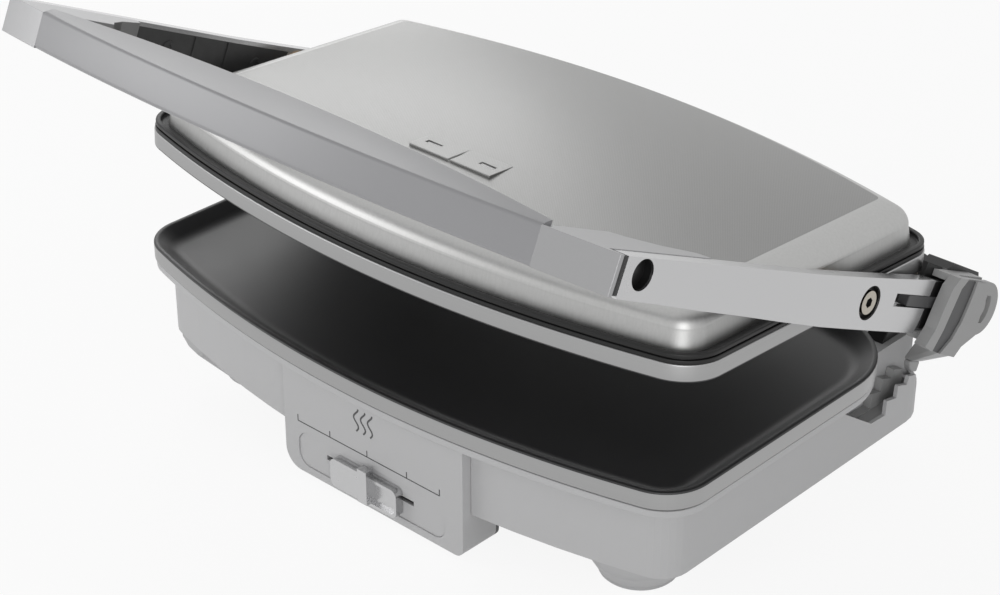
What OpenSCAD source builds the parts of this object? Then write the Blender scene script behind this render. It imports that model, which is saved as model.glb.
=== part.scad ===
// Contact press with a swing handle, a lid hung in its arms and a height clip on the right arm.
// Millimetres. Z is up, the feet stand on z = 0, the front faces -Y and X = 0 is the middle.
// Heights inside the modules are counted from the rim of the lower plate.

/* [Plates] */
// Height of the lower plate's rim above the table
rim_height = 76; // [72:1:84]
// Width of both plates
plate_w = 350; // [342:1:358]
// Y of the middle of the front edge
plate_front_y = -130; // [-134:1:-126]
// Radius of the bowed front edge
front_bow_r = 585; // [500:5:700]
// Y of the middle of the lower plate's rear edge, which clears the clip foot
plate_rear_y = 86; // [83:1:87]
// Y of the middle of the lid's rear edge
lid_rear_y = 95; // [92:1:97]
// Radius of the bowed rear edges
rear_bow_r = 625; // [550:5:700]
// Corner radius at the front of the lower plate
plate_corner_r = 24; // [22:1:28]
// Corner radius at the rear of the lower plate
rear_corner_r = 47; // [44:1:50]
// Corner radius at the front of the lid
lid_corner_r = 22; // [20:1:40]
// Corner radius at the rear of the lid
lid_rear_corner_r = 16; // [14:1:24]
// Height of the aluminium band of each plate
band_h = 9; // [8:0.5:10]
// Depth of the cooking recess
recess_depth = 6.5; // [4:0.5:7]
// Width of the flat lip round the lower recess
lip_w = 2; // [1.5:0.5:4]
// How far the recess wall slopes inward
wall_slope = 9; // [6:0.5:10]

/* [Base] */
// Inset of the housing wall from the plate's edge
housing_inset = 9; // [8:0.5:10]
// Depth of the housing's bottom edge below the rim
housing_bottom = 51; // [50:1:53]
// Thickness of the plastic walls
wall = 2; // [1.8:0.1:2.4]
// Y of the middle of the housing's rear wall
housing_rear_y = 116; // [114:1:120]
// Radius of the housing's rear corners
housing_corner_r = 22; // [20:1:24]
// Height of the light strip under the band
strip_h = 3.5; // [3:0.5:4]
// Height of the gasket line between band and strip
gasket_h = 1; // [0.8:0.1:1.4]
// Foot spacing to each side of the middle
foot_x = 127; // [120:1:130]
// Y of the front feet
front_foot_y = -70; // [-72:1:-66]
// Y of the middle of the long rear feet
rear_foot_y = 55; // [50:1:60]
// Foot diameter at the top
foot_d = 50; // [46:1:52]

/* [Control panel] */
// Left edge of the control panel
panel_left = -51.5; // [-55:0.5:-50]
// Right edge of the control panel
panel_right = 66.5; // [65:0.5:70]
// How far the panel reaches below the rim
panel_bottom = 73; // [71:0.5:74]
// Y of the panel's face
panel_face_y = -122.4; // [-124:0.1:-122]
// How far the panel housing runs back
panel_depth = 22; // [20:0.5:22.5]
// Middle of the slider's travel
slider_x = 5.7; // [3:0.1:8]
// Height of the slider's slit below the rim
slider_z = 58; // [57:0.5:59]
// Length of the slider knob
knob_w = 44; // [38:1:46]
// Travel of the slider each way
slider_travel = 22; // [16:1:24]

/* [Handle] */
// Y of the hinge axis
hinge_y = 106.4; // [106:0.1:107]
// Height of the hinge axis above the rim
hinge_z = 15.7; // [15:0.1:16.4]
// Diameter of the hinge pin
hinge_pin_d = 8; // [7:0.5:9]
// Opening angle of the handle as photographed
open_angle = 25; // [24:0.5:26]
// Half of the width over the arms
arm_x = 186; // [185:0.5:187]
// Thickness of an arm
arm_t = 7.8; // [7.2:0.1:8]
// Y of the front end of the arms
arm_front_y = -184; // [-188:1:-182]
// Y of the middle of the grip's front edge
grip_front_y = -211; // [-215:1:-205]
// Radius of the grip's bowed front edge
grip_bow_r = 786; // [700:5:900]
// Width of each corner block, from the grip's end to the arm's outer face
corner_w = 34; // [32:1:36]
// Diameter of the round hole near the front of each arm
arm_hole_d = 13; // [10:0.5:14]
// Travel of the height clip along the arm
clip_travel = 10; // [6:0.5:10]

/* [Lid] */
// Y of the lid pivot with the press closed
pivot_y = 3.7; // [0:0.1:6]
// Height of the lid pivot above the rim with the press closed
pivot_z = 8.1; // [7.9:0.1:8.6]
// Nose-up tilt of the lid as photographed
lid_tilt = 3.7; // [3:0.1:4.4]
// Diameter of the pivot screw
pivot_d = 7; // [6:0.5:7]
// Height of the black rim over the band
lid_rim_h = 4.6; // [4.4:0.1:6]
// Height of the crease of the cover above the mating face
crease_z = 30.4; // [29:0.1:32]
// Inset of the crease from the edge
crease_inset = 23; // [21:0.5:24]
// Rise of the domed top above the crease
dome_rise = 6.6; // [4:0.1:7]
// Thickness of the sheet cover
cover_t = 1; // [0.8:0.1:1.2]

/* [Hidden] */

// The grip fills what the two corner blocks leave between the arms
grip_w = 2 * (arm_x - corner_w);

// Clearances
slide_gap = 0.3;
fit_gap = 0.2;
over = 1;
plate_gap = 0.6;

// Finishes
painted = [0.76, 0.76, 0.78];
aluminium = [0.72, 0.72, 0.73];
steel = [0.66, 0.66, 0.67];
non_stick = [0.13, 0.13, 0.135];
black_plastic = [0.07, 0.07, 0.075];
grey_plastic = [0.36, 0.36, 0.37];

// Half widths, levels and stack of the base
half_w = plate_w / 2;
gasket_z = -band_h - gasket_h;
strip_z = gasket_z - strip_h;
deck_t = 2.5;
deck_z = strip_z - deck_t;
housing_half = half_w - housing_inset;
cover_plate_t = 2.5;
cover_top_z = -housing_bottom + cover_plate_t;
housing_rear_r = 900;
long_n = 14;
corner_n = 6;

// Points on an arc from angle a0 to a1, leaving out the first when skip is 1
function arc(cx, cy, r, a0, a1, n, skip = 1) =
    [for (i = [skip:n]) let (a = a0 + (a1 - a0) * i / n) [cx + r * cos(a), cy + r * sin(a)]];

// Outline with straight sides and bowed front and rear, drawn in by d
function bowed(d, hw, fy, fr, fc, ry, rr, rc) =
    let (
        f = max(fc - d, 3),
        r = max(rc - d, 3),
        w = hw - d,
        cf = fy + fr,
        cr = ry - rr,
        yf = cf - sqrt(pow(fr - d - f, 2) - pow(w - f, 2)),
        yr = cr + sqrt(pow(rr - d - r, 2) - pow(w - r, 2)),
        af = atan2(w - f, cf - yf),
        ar = atan2(w - r, yr - cr)
    )
    concat(
        arc(0, cf, fr - d, -90 - af, -90 + af, long_n),
        arc(w - f, yf, f, -90 + af, 0, corner_n),
        arc(w - r, yr, r, 0, 90 - ar, corner_n, 0),
        arc(0, cr, rr - d, 90 - ar, 90 + ar, long_n),
        arc(r - w, yr, r, 90 + ar, 180, corner_n),
        arc(f - w, yf, f, 180, 270 - af, corner_n, 0)
    );

// Outline of the lower plate, of the lid and of the housing
function lower_outline(d) = bowed(d, half_w, plate_front_y, front_bow_r, plate_corner_r,
    plate_rear_y, rear_bow_r, rear_corner_r);
function lid_outline(d) = bowed(d, half_w, plate_front_y, front_bow_r, lid_corner_r,
    lid_rear_y, rear_bow_r, lid_rear_corner_r);
function housing_outline(d) = bowed(d, housing_half, plate_front_y + housing_inset,
    front_bow_r - housing_inset, plate_corner_r - housing_inset, housing_rear_y, housing_rear_r,
    housing_corner_r);

// Slab between two heights
module slab(z0, z1, points) {
    translate([0, 0, z0]) linear_extrude(z1 - z0) polygon(points);
}

// Flat ring between two outlines
module ring(z0, z1, outer, inner) {
    difference() {
        slab(z0, z1, outer);
        slab(z0 - over, z1 + over, inner);
    }
}

// Block between two corners
module block(a, b) {
    translate(a) cube(b - a);
}

// Plate of a side outline, given as [y, z] points, from x0 to x1
module side_plate(x0, x1, points) {
    translate([x0, 0, 0]) rotate([90, 0, 90]) linear_extrude(x1 - x0) polygon(points);
}

// Round bar along X and along Y
module bar_x(x0, x1, y, z, d) {
    translate([x0, y, z]) rotate([0, 90, 0]) cylinder(d = d, h = x1 - x0, $fn = 48);
}
module bar_y(y0, y1, x, z, d) {
    translate([x, y0, z]) rotate([-90, 0, 0]) cylinder(d = d, h = y1 - y0, $fn = 48);
}

// Places: the base, the swung handle and the lid hung in it
module in_base() {
    translate([0, 0, rim_height]) children();
}
module in_handle() {
    translate([0, hinge_y, rim_height + hinge_z]) rotate([-open_angle, 0, 0])
        translate([0, -hinge_y, -hinge_z]) children();
}
module in_lid() {
    in_handle() translate([0, pivot_y, pivot_z]) rotate([open_angle - lid_tilt, 0, 0])
        translate([0, -pivot_y, plate_gap - pivot_z]) children();
}
module left_side() {
    mirror([1, 0, 0]) children();
}
module both_sides() {
    children();
    mirror([1, 0, 0]) children();
}

// Stepped pocket at the right rear
pocket_x = housing_half - 13;
pocket_front_y = 16;
pocket_floor_z = -39.3;
rack_t = 2;
rack_strip_w = 4;
rear_notch_z = -35;
// Tread line of the rack and of the outer wall, front to rear
tread_line = [[30.8, -23.7], [51.6, -38], [63, -38.5], [63.6, -31], [71.4, -32.8], [72.1, -26.3],
    [79.6, -29], [80.9, -24.8], [88.5, -27.6], [92.9, rear_notch_z]];

// Feet, screws and bosses
foot_h = rim_height - housing_bottom;
foot_bottom_r = 19;
foot_flare = [12, -13];
rear_foot_reach = 20;
foot_screw_bite = 16;
boss_top_z = -30;
boss_d = 12;
foot_screw_d = 4;
foot_screw_head_d = 8;
foot_screw_head_h = 3;
foot_bore_d = 10;
foot_bore_h = 15;
front_foot_places = [[-foot_x, front_foot_y], [foot_x, front_foot_y]];
rear_foot_places = [[-foot_x, rear_foot_y], [foot_x, rear_foot_y]];
foot_places = concat(front_foot_places, rear_foot_places);
foot_round = 3;
foot_socket_d = 3;
foot_socket_h = 2;
column_d = 9;
housing_screw_d = 3.5;
housing_screw_head_d = 7;
housing_screw_head_h = 2;
housing_screw_len = 14;
housing_socket_d = 2.6;
housing_socket_h = 1.2;
column_places = [for (sx = [-1, 1]) for (p = [[100, -103], [88, 100]]) [sx * p[0], p[1]]];

// Cord gland
gland_z = -33;
gland_d = 13;
gland_flange_d = 18;
gland_flange_t = 3;
gland_bore_d = 7.5;
gland_len = 8;

module base_housing() {
    color(painted) in_base() {
        difference() {
            slab(-housing_bottom, strip_z, housing_outline(0));
            slab(-housing_bottom - over, deck_z, housing_outline(wall));
            slab(deck_z - over, strip_z + over, lower_outline(30));
            panel_opening(slide_gap);
            rack_pocket();
            bar_y(housing_rear_y - 20, housing_rear_y + over, 0, gland_z, gland_d + 2 * fit_gap);
        }
        intersection() {
            slab(-housing_bottom, deck_z, housing_outline(wall));
            pocket_walls();
        }
        for (p = column_places) translate([p[0], p[1], cover_top_z]) screw_column();
    }
}

// Hollow column that a housing screw bites in
module screw_column() {
    difference() {
        cylinder(d = column_d, h = deck_z - cover_top_z, $fn = 40);
        translate([0, 0, -over]) cylinder(d = housing_screw_d, h = housing_screw_len + over, $fn = 32);
    }
}

// Space that the control panel takes through the front wall and the bottom
module panel_opening(gap) {
    block([panel_left - gap, plate_front_y - over, -housing_bottom - over],
        [panel_right + gap, panel_face_y + panel_depth + gap, deck_z]);
    block([panel_left - gap, plate_front_y - over, deck_z - over],
        [panel_right + gap, panel_flange_y + gap, strip_z + over]);
}

// Open pocket for the clip foot, and the stepped outer wall over it
module rack_pocket() {
    side_plate(pocket_x, housing_half - wall, [[pocket_front_y, over],
        [pocket_front_y, pocket_floor_z - rack_t],
        [tread_line[8][0], pocket_floor_z - rack_t], [tread_line[9][0], rear_notch_z],
        [housing_rear_y + over, rear_notch_z], [housing_rear_y + over, over]]);
    side_plate(housing_half - wall - over, half_w, concat([[pocket_front_y - over, strip_z + over],
        [pocket_front_y, strip_z]], tread_line,
        [[housing_rear_y + over, rear_notch_z], [housing_rear_y + over, over]]));
}

// Inboard wall, front wall and floor of the pocket
module pocket_walls() {
    block([pocket_x - wall, pocket_front_y - wall, -housing_bottom], [pocket_x, housing_rear_y, deck_z]);
    block([pocket_x - wall, pocket_front_y - wall, -housing_bottom], [housing_half, pocket_front_y, deck_z]);
    block([pocket_x - wall, pocket_front_y - wall, pocket_floor_z - rack_t - wall],
        [housing_half, tread_line[9][0] + wall, pocket_floor_z - rack_t]);
    block([pocket_x - wall, tread_line[9][0], -housing_bottom],
        [housing_half, tread_line[9][0] + wall, rear_notch_z]);
}

module bottom_cover() {
    color(grey_plastic) in_base() difference() {
        union() {
            slab(-housing_bottom, cover_top_z, housing_outline(wall + slide_gap));
            for (p = foot_places) translate([p[0], p[1], cover_top_z])
                cylinder(d = boss_d, h = boss_top_z - cover_top_z, $fn = 40);
        }
        panel_opening(slide_gap);
        block([pocket_x - wall - slide_gap, pocket_front_y - wall - slide_gap, -housing_bottom - over],
            [housing_half, housing_rear_y, cover_top_z + over]);
        for (p = foot_places) translate([p[0], p[1], -housing_bottom - over])
            cylinder(d = foot_screw_d, h = housing_bottom, $fn = 32);
        for (p = column_places) translate([p[0], p[1], -housing_bottom - over])
            cylinder(d = housing_screw_d + 2 * fit_gap, h = housing_bottom, $fn = 32);
    }
}

module base_frame() {
    color(painted) in_base() ring(strip_z, gasket_z, lower_outline(0.8), lower_outline(14.5));
}

module plate_gasket() {
    color(black_plastic) in_base() ring(gasket_z, -band_h, lower_outline(2.5), lower_outline(14.5));
}

// Cooking plate with a sloped recess, seen from its mating face at z = 0
floor_t = 4.5;
body_inset = 15;
skin = 0.01;
plate_under_z = -recess_depth - floor_t;
module cooking_plate_lower() {
    difference() {
        union() {
            slab(-band_h, 0, lower_outline(0));
            slab(plate_under_z, -band_h, lower_outline(body_inset));
        }
        hull() {
            slab(-recess_depth, -recess_depth + skin, lower_outline(lip_w + wall_slope));
            slab(skin, 2 * skin, lower_outline(lip_w));
        }
    }
}

module lower_plate() {
    color(non_stick) in_base() cooking_plate_lower();
}

// Tubular heater: a racetrack loop with two ends near the middle of its rear run
tube_d = 6.6;
loop_x = 80;
loop_r = 48;
loop_y = -20;
loop_end_x = 16;
pin_d = 3;
pin_len = 9;
module heater_loop(z) {
    bar_x(-loop_x, loop_x, loop_y - loop_r, z, tube_d);
    both_sides() {
        bar_x(loop_end_x, loop_x, loop_y + loop_r, z, tube_d);
        translate([loop_x, loop_y, z]) rotate([0, 0, -90]) rotate_extrude(angle = 180, $fn = 64)
            translate([loop_r, 0]) circle(d = tube_d, $fn = 32);
        bar_x(loop_end_x - pin_len, loop_end_x, loop_y + loop_r, z, pin_d);
    }
}

module lower_heating_element() {
    color(steel) in_base() heater_loop(plate_under_z - tube_d / 2);
}

shield_t = 0.8;
lower_pan_z = -22;
module lower_heat_shield() {
    color(steel) in_base() {
        ring(deck_z - shield_t, deck_z, lower_outline(24), lower_outline(33 + shield_t));
        ring(lower_pan_z, deck_z - shield_t, lower_outline(33), lower_outline(33 + shield_t));
        slab(lower_pan_z - shield_t, lower_pan_z, lower_outline(33));
    }
}

thermostat_d = 18;
thermostat_h = 7;
module lower_thermostat() {
    color([0.75, 0.70, 0.60]) in_base() translate([0, loop_y, plate_under_z - thermostat_h])
        cylinder(d = thermostat_d, h = thermostat_h, $fn = 40);
}

fuse_d = 4;
fuse_len = 14;
fuse_x = 30;
module thermal_fuse() {
    color([0.80, 0.72, 0.45]) in_base()
        bar_x(fuse_x, fuse_x + fuse_len, loop_y, plate_under_z - fuse_d / 2, fuse_d);
}

terminal_half_w = 20;
terminal_depth = 14;
terminal_h = 12;
terminal_pitch = 12;
terminal_bore_d = 4;
terminal_y = housing_rear_y - 37;
module terminal_block() {
    color([0.85, 0.84, 0.80]) in_base() difference() {
        block([-terminal_half_w, terminal_y - terminal_depth / 2, cover_top_z],
            [terminal_half_w, terminal_y + terminal_depth / 2, cover_top_z + terminal_h]);
        for (i = [-1:1]) bar_y(terminal_y - terminal_depth / 2 - over, terminal_y + terminal_depth / 2 + over,
            i * terminal_pitch, cover_top_z + terminal_h * 0.6, terminal_bore_d);
    }
}

module cord_gland() {
    color(black_plastic) in_base() difference() {
        union() {
            bar_y(housing_rear_y - gland_len, housing_rear_y + 0.1, 0, gland_z, gland_d);
            bar_y(housing_rear_y + 0.1, housing_rear_y + gland_flange_t, 0, gland_z, gland_flange_d);
            bar_y(housing_rear_y - gland_len, housing_rear_y - wall - slide_gap, 0, gland_z,
                gland_flange_d - 1);
        }
        bar_y(housing_rear_y - 20, housing_rear_y + 20, 0, gland_z, gland_bore_d);
    }
}

// Control panel below the front edge
face_t = 2.2;
panel_flange_y = panel_face_y + face_t;
panel_back_y = panel_face_y + panel_depth;
panel_roof_z = deck_z - shield_t - slide_gap;
track_depth = 1.4;
track_t = 0.8;
track_left = slider_x - 48;
track_right = slider_x + 49.5;
track_top_z = -50;
track_bottom_z = -69;
slit_h = 2.6;
stem_w = 8;
slit_half = slider_travel + stem_w / 2 + 3;
slit_depth = 10;
panel_corner_left = 10;
panel_corner_right = 5;
track_r = 7;
slit_margin = 0.5;
rib_gap = 0.8;

// Front view of the panel with round lower corners, drawn in by d
function panel_outline(d, top) = concat(
    [[panel_left + d, top], [panel_left + d, -panel_bottom + panel_corner_left]],
    arc(panel_left + panel_corner_left, -panel_bottom + panel_corner_left, panel_corner_left - d,
        180, 270, 8),
    arc(panel_right - panel_corner_right, -panel_bottom + panel_corner_right, panel_corner_right - d,
        270, 360, 6, 0),
    [[panel_right - d, top]]);

// Slab of a front outline from y0 to y1
module front_slab(y0, y1, points) {
    translate([0, y1, 0]) rotate([90, 0, 0]) linear_extrude(y1 - y0) polygon(points);
}

// Bar with round ends in the front view
module slot_bar(x0, x1, z0, z1, y0, y1, r) {
    for (x = [x0 + r, x1 - r]) for (z = [z0 + r, z1 - r]) bar_y(y0, y1, x, z, 2 * r);
    block([x0 + r, y0, z0], [x1 - r, y1, z1]);
    block([x0, y0, z0 + r], [x1, y1, z1 - r]);
}

module control_panel() {
    color(painted) in_base() difference() {
        union() {
            front_slab(panel_face_y, panel_flange_y, panel_outline(0, strip_z - slide_gap));
            front_slab(panel_flange_y, panel_back_y, panel_outline(0, panel_roof_z));
        }
        front_slab(panel_flange_y + rib_gap, panel_back_y + over, panel_outline(wall, panel_roof_z - wall));
        slot_bar(track_left, track_right, track_bottom_z, track_top_z, panel_face_y - over,
            panel_face_y + track_depth, track_r);
        block([slider_x - slit_half, panel_face_y - over, -slider_z - slit_h / 2 - slit_margin],
            [slider_x + slit_half, panel_face_y + slit_depth, -slider_z + slit_h / 2 + slit_margin]);
    }
}

module slider_track() {
    color(aluminium) in_base() difference() {
        slot_bar(track_left + fit_gap, track_right - fit_gap, track_bottom_z + fit_gap, track_top_z - fit_gap,
            panel_face_y + track_depth - track_t, panel_face_y + track_depth, track_r - fit_gap);
        block([slider_x - slit_half, panel_face_y - over, -slider_z - slit_h / 2],
            [slider_x + slit_half, panel_face_y + slit_depth, -slider_z + slit_h / 2]);
    }
}

back_cover_t = 2;
standoff_d = 6;
standoff_gap = 4.6;
pot_half = 42;
board_t = 1.6;
board_y = panel_back_y - 6;
board_left = panel_left + 6;
board_right = panel_right - 6;
board_top_z = -24;
board_bottom_z = -66;
module control_back_cover() {
    color(grey_plastic) in_base() {
        front_slab(panel_back_y, panel_back_y + back_cover_t, panel_outline(0, -housing_bottom - 0.5));
        front_slab(panel_back_y - back_cover_t, panel_back_y,
            panel_outline(wall + slide_gap, -housing_bottom - wall - over));
        for (sx = [-1, 1]) bar_y(board_y + board_t, panel_back_y, slider_x + sx * (pot_half + standoff_gap),
            -slider_z, standoff_d);
    }
}

module control_board() {
    color([0.10, 0.32, 0.18]) in_base()
        block([board_left, board_y, board_bottom_z], [board_right, board_y + board_t, board_top_z]);
}

pot_t = 6;
pot_h = 11;
module slide_potentiometer() {
    color([0.55, 0.55, 0.50]) in_base() block([slider_x - pot_half, board_y - pot_t, -slider_z - pot_h / 2],
        [slider_x + pot_half, board_y, -slider_z + pot_h / 2]);
}

// Slider knob with a raised block, a low rimmed plate and a fin
knob_back_y = panel_face_y + track_depth - track_t - slide_gap;
knob_top_z = -52.5;
knob_bottom_z = -67.8;
knob_low_t = 2.6;
knob_high_t = 4.4;
knob_r = 3.5;
knob_rim = 1.6;
fin_t = 6;
fin_proud = 7;
fin_top_z = -48;
carriage_t = 6;
carriage_half = 11;
carriage_h = 10;
module slider_knob() {
    color(aluminium) in_base() {
        slot_bar(slider_x - knob_w / 2, slider_x + knob_w / 2, knob_bottom_z, knob_top_z,
            knob_back_y - knob_low_t, knob_back_y, knob_r);
        difference() {
            slot_bar(slider_x - knob_w / 2, slider_x + knob_w / 2, knob_bottom_z, knob_top_z,
                knob_back_y - knob_high_t, knob_back_y - knob_low_t, knob_r);
            slot_bar(slider_x + knob_rim, slider_x + knob_w / 2 - knob_rim, knob_bottom_z + knob_rim,
                knob_top_z - knob_rim, knob_back_y - knob_high_t - over, knob_back_y - knob_low_t,
                knob_r - 1.3);
        }
        block([slider_x - 0.5, panel_face_y - fin_proud, knob_bottom_z + knob_rim],
            [slider_x - 0.5 + fin_t, knob_back_y - knob_low_t, fin_top_z]);
        block([slider_x - stem_w / 2, knob_back_y, -slider_z - 1],
            [slider_x + stem_w / 2, board_y - pot_t - carriage_t, -slider_z + 1]);
    }
}

module slider_carriage() {
    color(black_plastic) in_base()
        block([slider_x - carriage_half, board_y - pot_t - carriage_t, -slider_z - carriage_h / 2],
            [slider_x + carriage_half, board_y - pot_t - slide_gap, -slider_z + carriage_h / 2]);
}

module step_rack() {
    color(black_plastic) in_base() {
        block([pocket_x + slide_gap, pocket_front_y + slide_gap, pocket_floor_z - rack_t],
            [housing_half - wall - slide_gap, tread_line[8][0] - 0.5, pocket_floor_z]);
        side_plate(pocket_x + slide_gap, pocket_x + slide_gap + rack_strip_w,
            concat([[pocket_front_y + slide_gap, pocket_floor_z], [pocket_front_y + slide_gap, deck_z]],
            [[20, deck_z - 1]], [for (i = [0:8]) tread_line[i]], [[tread_line[8][0], pocket_floor_z]]));
    }
}

// Hinge posts on the rear deck
post_x0 = 140;
post_x1 = 150;
post_boss_d = hinge_pin_d + 10;
post_foot_y = hinge_y - 26.4;
module hinge_post() {
    color(black_plastic) in_base() difference() {
        union() {
            side_plate(post_x0, post_x1, [[post_foot_y, strip_z], [post_foot_y + 19, strip_z],
                [hinge_y + 5.6, hinge_z - 13.7], [hinge_y + 6.6, hinge_z], [hinge_y - 6.4, hinge_z + 6],
                [hinge_y - 13.4, hinge_z - 11.7]]);
            bar_x(post_x0, post_x1, hinge_y, hinge_z, post_boss_d);
        }
        bar_x(post_x0 - over, post_x1 + over, hinge_y, hinge_z, hinge_pin_d);
    }
}
module hinge_post_right() {
    hinge_post();
}
module hinge_post_left() {
    left_side() hinge_post();
}

// Hinge pins, fixed in the posts
knuckle_x0 = 164.3;
knuckle_x1 = arm_x - arm_t;
module hinge_pin() {
    color(steel) in_base() bar_x(post_x0 - 2, knuckle_x1 - 0.5, hinge_y, hinge_z, hinge_pin_d);
}
module hinge_pin_right() {
    hinge_pin();
}
module hinge_pin_left() {
    left_side() hinge_pin();
}

// Disc of a foot's sole with a rounded edge
module sole_disc(p) {
    translate([p[0], p[1], 0]) rotate_extrude($fn = 48)
        polygon(concat([[0, 0], [foot_bottom_r - foot_round, 0]],
            arc(foot_bottom_r - foot_round, foot_round, foot_round, -90, 0, 5), [[0, foot_round]]));
}

// Front foot, which flares out to the corner of the housing
module front_foot(p) {
    hull() {
        sole_disc(p);
        intersection() {
            translate([p[0] + sign(p[0]) * foot_flare[0], p[1] + foot_flare[1], foot_h - over])
                cylinder(d = foot_d, h = over, $fn = 48);
            slab(foot_h - 2 * over, foot_h, housing_outline(fit_gap));
        }
    }
}

// Long rear foot
module rear_foot(p) {
    hull() {
        for (s = [-1, 1]) {
            sole_disc([p[0], p[1] + s * rear_foot_reach]);
            translate([p[0] + sign(p[0]) * foot_flare[0] / 2, p[1] + s * rear_foot_reach, foot_h - over])
                cylinder(d = foot_d, h = over, $fn = 48);
        }
    }
}

// Feet with a sunk screw
module feet() {
    color([0.80, 0.80, 0.81]) difference() {
        union() {
            for (p = front_foot_places) front_foot(p);
            for (p = rear_foot_places) rear_foot(p);
        }
        for (p = foot_places) translate([p[0], p[1], -over]) {
            cylinder(d = foot_bore_d, h = foot_bore_h + over, $fn = 40);
            cylinder(d = foot_screw_d + 2 * fit_gap, h = foot_h + 2 * over, $fn = 32);
        }
    }
}

module foot_screws() {
    color(steel) for (p = foot_places) translate([p[0], p[1], foot_bore_h - foot_screw_head_h]) {
        difference() {
            cylinder(d = foot_screw_head_d, h = foot_screw_head_h, $fn = 40);
            translate([0, 0, -over]) cylinder(d = foot_socket_d, h = foot_socket_h + over, $fn = 6);
        }
        cylinder(d = foot_screw_d, h = foot_h - foot_bore_h + foot_screw_head_h + foot_screw_bite, $fn = 32);
    }
}

module housing_screws() {
    color(steel) in_base() for (p = column_places)
        translate([p[0], p[1], -housing_bottom - housing_screw_head_h]) {
            difference() {
                cylinder(d = housing_screw_head_d, h = housing_screw_head_h, $fn = 40);
                translate([0, 0, -over]) cylinder(d = housing_socket_d, h = housing_socket_h + over, $fn = 6);
            }
            cylinder(d = housing_screw_d, h = housing_screw_len, $fn = 32);
        }
}

// Grip bar: front face, chamfered top and flat bottom, bowed in the top view
grip_bottom_z = 2;
grip_face_z = 19;
grip_crest_z = 25;
grip_rear_y = -182;
grip_rear_r = 1406;
grip_n = 12;
function grip_front(x) = grip_front_y + grip_bow_r - sqrt(pow(grip_bow_r, 2) - x * x);
function grip_rear(x) = grip_rear_y - grip_rear_r + sqrt(pow(grip_rear_r, 2) - x * x);
function grip_crest(x) = grip_crest_z - (grip_crest_z - grip_face_z) * pow(x / (grip_w / 2), 2) * 0.6;
function grip_ring(x) = [[x, grip_front(x), grip_bottom_z], [x, grip_front(x) - 0.6, grip_bottom_z + 1.5],
    [x, grip_front(x) - 0.6, grip_face_z - 1.5], [x, grip_front(x) + 0.8, grip_face_z],
    [x, grip_rear(x) - 1, grip_crest(x)], [x, grip_rear(x), grip_crest(x) - 1],
    [x, grip_rear(x), grip_bottom_z]];

module handle_grip() {
    rings = [for (i = [0:grip_n]) grip_ring(grip_w * (i / grip_n - 0.5))];
    m = len(rings[0]);
    faces = concat(
        [[for (k = [0:m - 1]) k]],
        [[for (k = [m - 1:-1:0]) grip_n * m + k]],
        [for (i = [0:grip_n - 1]) for (k = [0:m - 1]) [i * m + (k + 1) % m, i * m + k, (i + 1) * m + k,
            (i + 1) * m + (k + 1) % m]]);
    color([0.70, 0.70, 0.75]) in_handle() polyhedron([for (r = rings) for (p = r) p], faces, convexity = 4);
}

// Cast corner between grip and arm, with its gusset
corner_face_y = arm_front_y - 3;
gusset_reach = 67;
gusset_fall = 36;
gusset_y = arm_front_y + gusset_reach;
function gusset_x(k) = grip_w / 2 + k * (knuckle_x1 - grip_w / 2);
module handle_corner() {
    color(aluminium) in_handle() translate([0, 0, grip_bottom_z]) linear_extrude(grip_face_z - grip_bottom_z)
        polygon(concat([for (i = [0:6]) let (x = grip_w / 2 + (arm_x - grip_w / 2 - 0.5) * i / 6)
            [x, grip_front(x)]],
            [[arm_x, grip_front(arm_x) + 1], [arm_x, corner_face_y], [knuckle_x1, corner_face_y],
            [knuckle_x1, gusset_y], [knuckle_x1 - 1.5, gusset_y],
            [gusset_x(0.76), gusset_y - 0.06 * gusset_fall],
            [gusset_x(0.53), gusset_y - 0.53 * gusset_fall],
            [gusset_x(0.23), gusset_y - 0.86 * gusset_fall], [grip_w / 2, gusset_y - gusset_fall],
            [grip_w / 2, corner_face_y]]));
}
module handle_corner_right() {
    handle_corner();
}
module handle_corner_left() {
    left_side() handle_corner();
}

module corner_spacers() {
    color(black_plastic) in_handle() both_sides()
        block([knuckle_x1, corner_face_y, grip_bottom_z + 0.6],
            [arm_x - 0.8, arm_front_y, grip_face_z - 0.6]);
}

// Side outline of an arm with the press closed
arm_top = [[51, 21.1], [23, 20.2], [-12, 19.3], [-45, 18.7], [arm_front_y, 18.7]];
arm_bottom = [[arm_front_y, 1.6], [-154, 0.5], [-126, -0.8], [-96, -1.7], [-64, -3.1], [-31, -4.2],
    [3, -4.4]];
arm_skin_y = 53;
arm_rear_y = 98;
neck_inset = 1.5;
slot_y0 = 25;
slot_y1 = 68;
slot_z0 = 7.5;
slot_z1 = 13.5;
arm_hole_y = -171.6;
arm_hole_z = 11.8;
counterbore_d = 16;
counterbore_t = 4;
arm_screw_d = 4;
knuckle_screw_places = [[88, 15], [88, 6]];

module arm() {
    color(aluminium) in_handle() difference() {
        union() {
            side_plate(knuckle_x1, arm_x, concat(arm_bottom, [[arm_skin_y - 2, -4.35], [arm_skin_y, 2],
                [arm_skin_y + 3, 21.1]], arm_top));
            side_plate(knuckle_x1, arm_x - neck_inset,
                [[40, -3.6], [arm_rear_y, -2.5], [arm_rear_y, 20.4], [40, 20.4]]);
        }
        bar_x(knuckle_x1 + 3, arm_x + over, arm_hole_y, arm_hole_z, arm_hole_d);
        bar_x(knuckle_x1 - over, arm_x + over, pivot_y, pivot_z, pivot_d + 2 * fit_gap);
        bar_x(arm_x - counterbore_t, arm_x + over, pivot_y, pivot_z, counterbore_d);
        block([knuckle_x1 - over, slot_y0, slot_z0], [arm_x + over, slot_y1, slot_z1]);
        for (p = knuckle_screw_places)
            bar_x(knuckle_x1 - over, arm_x + over, p[0], p[1], arm_screw_d + 2 * fit_gap);
    }
}
module arm_right() {
    arm();
}
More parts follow.
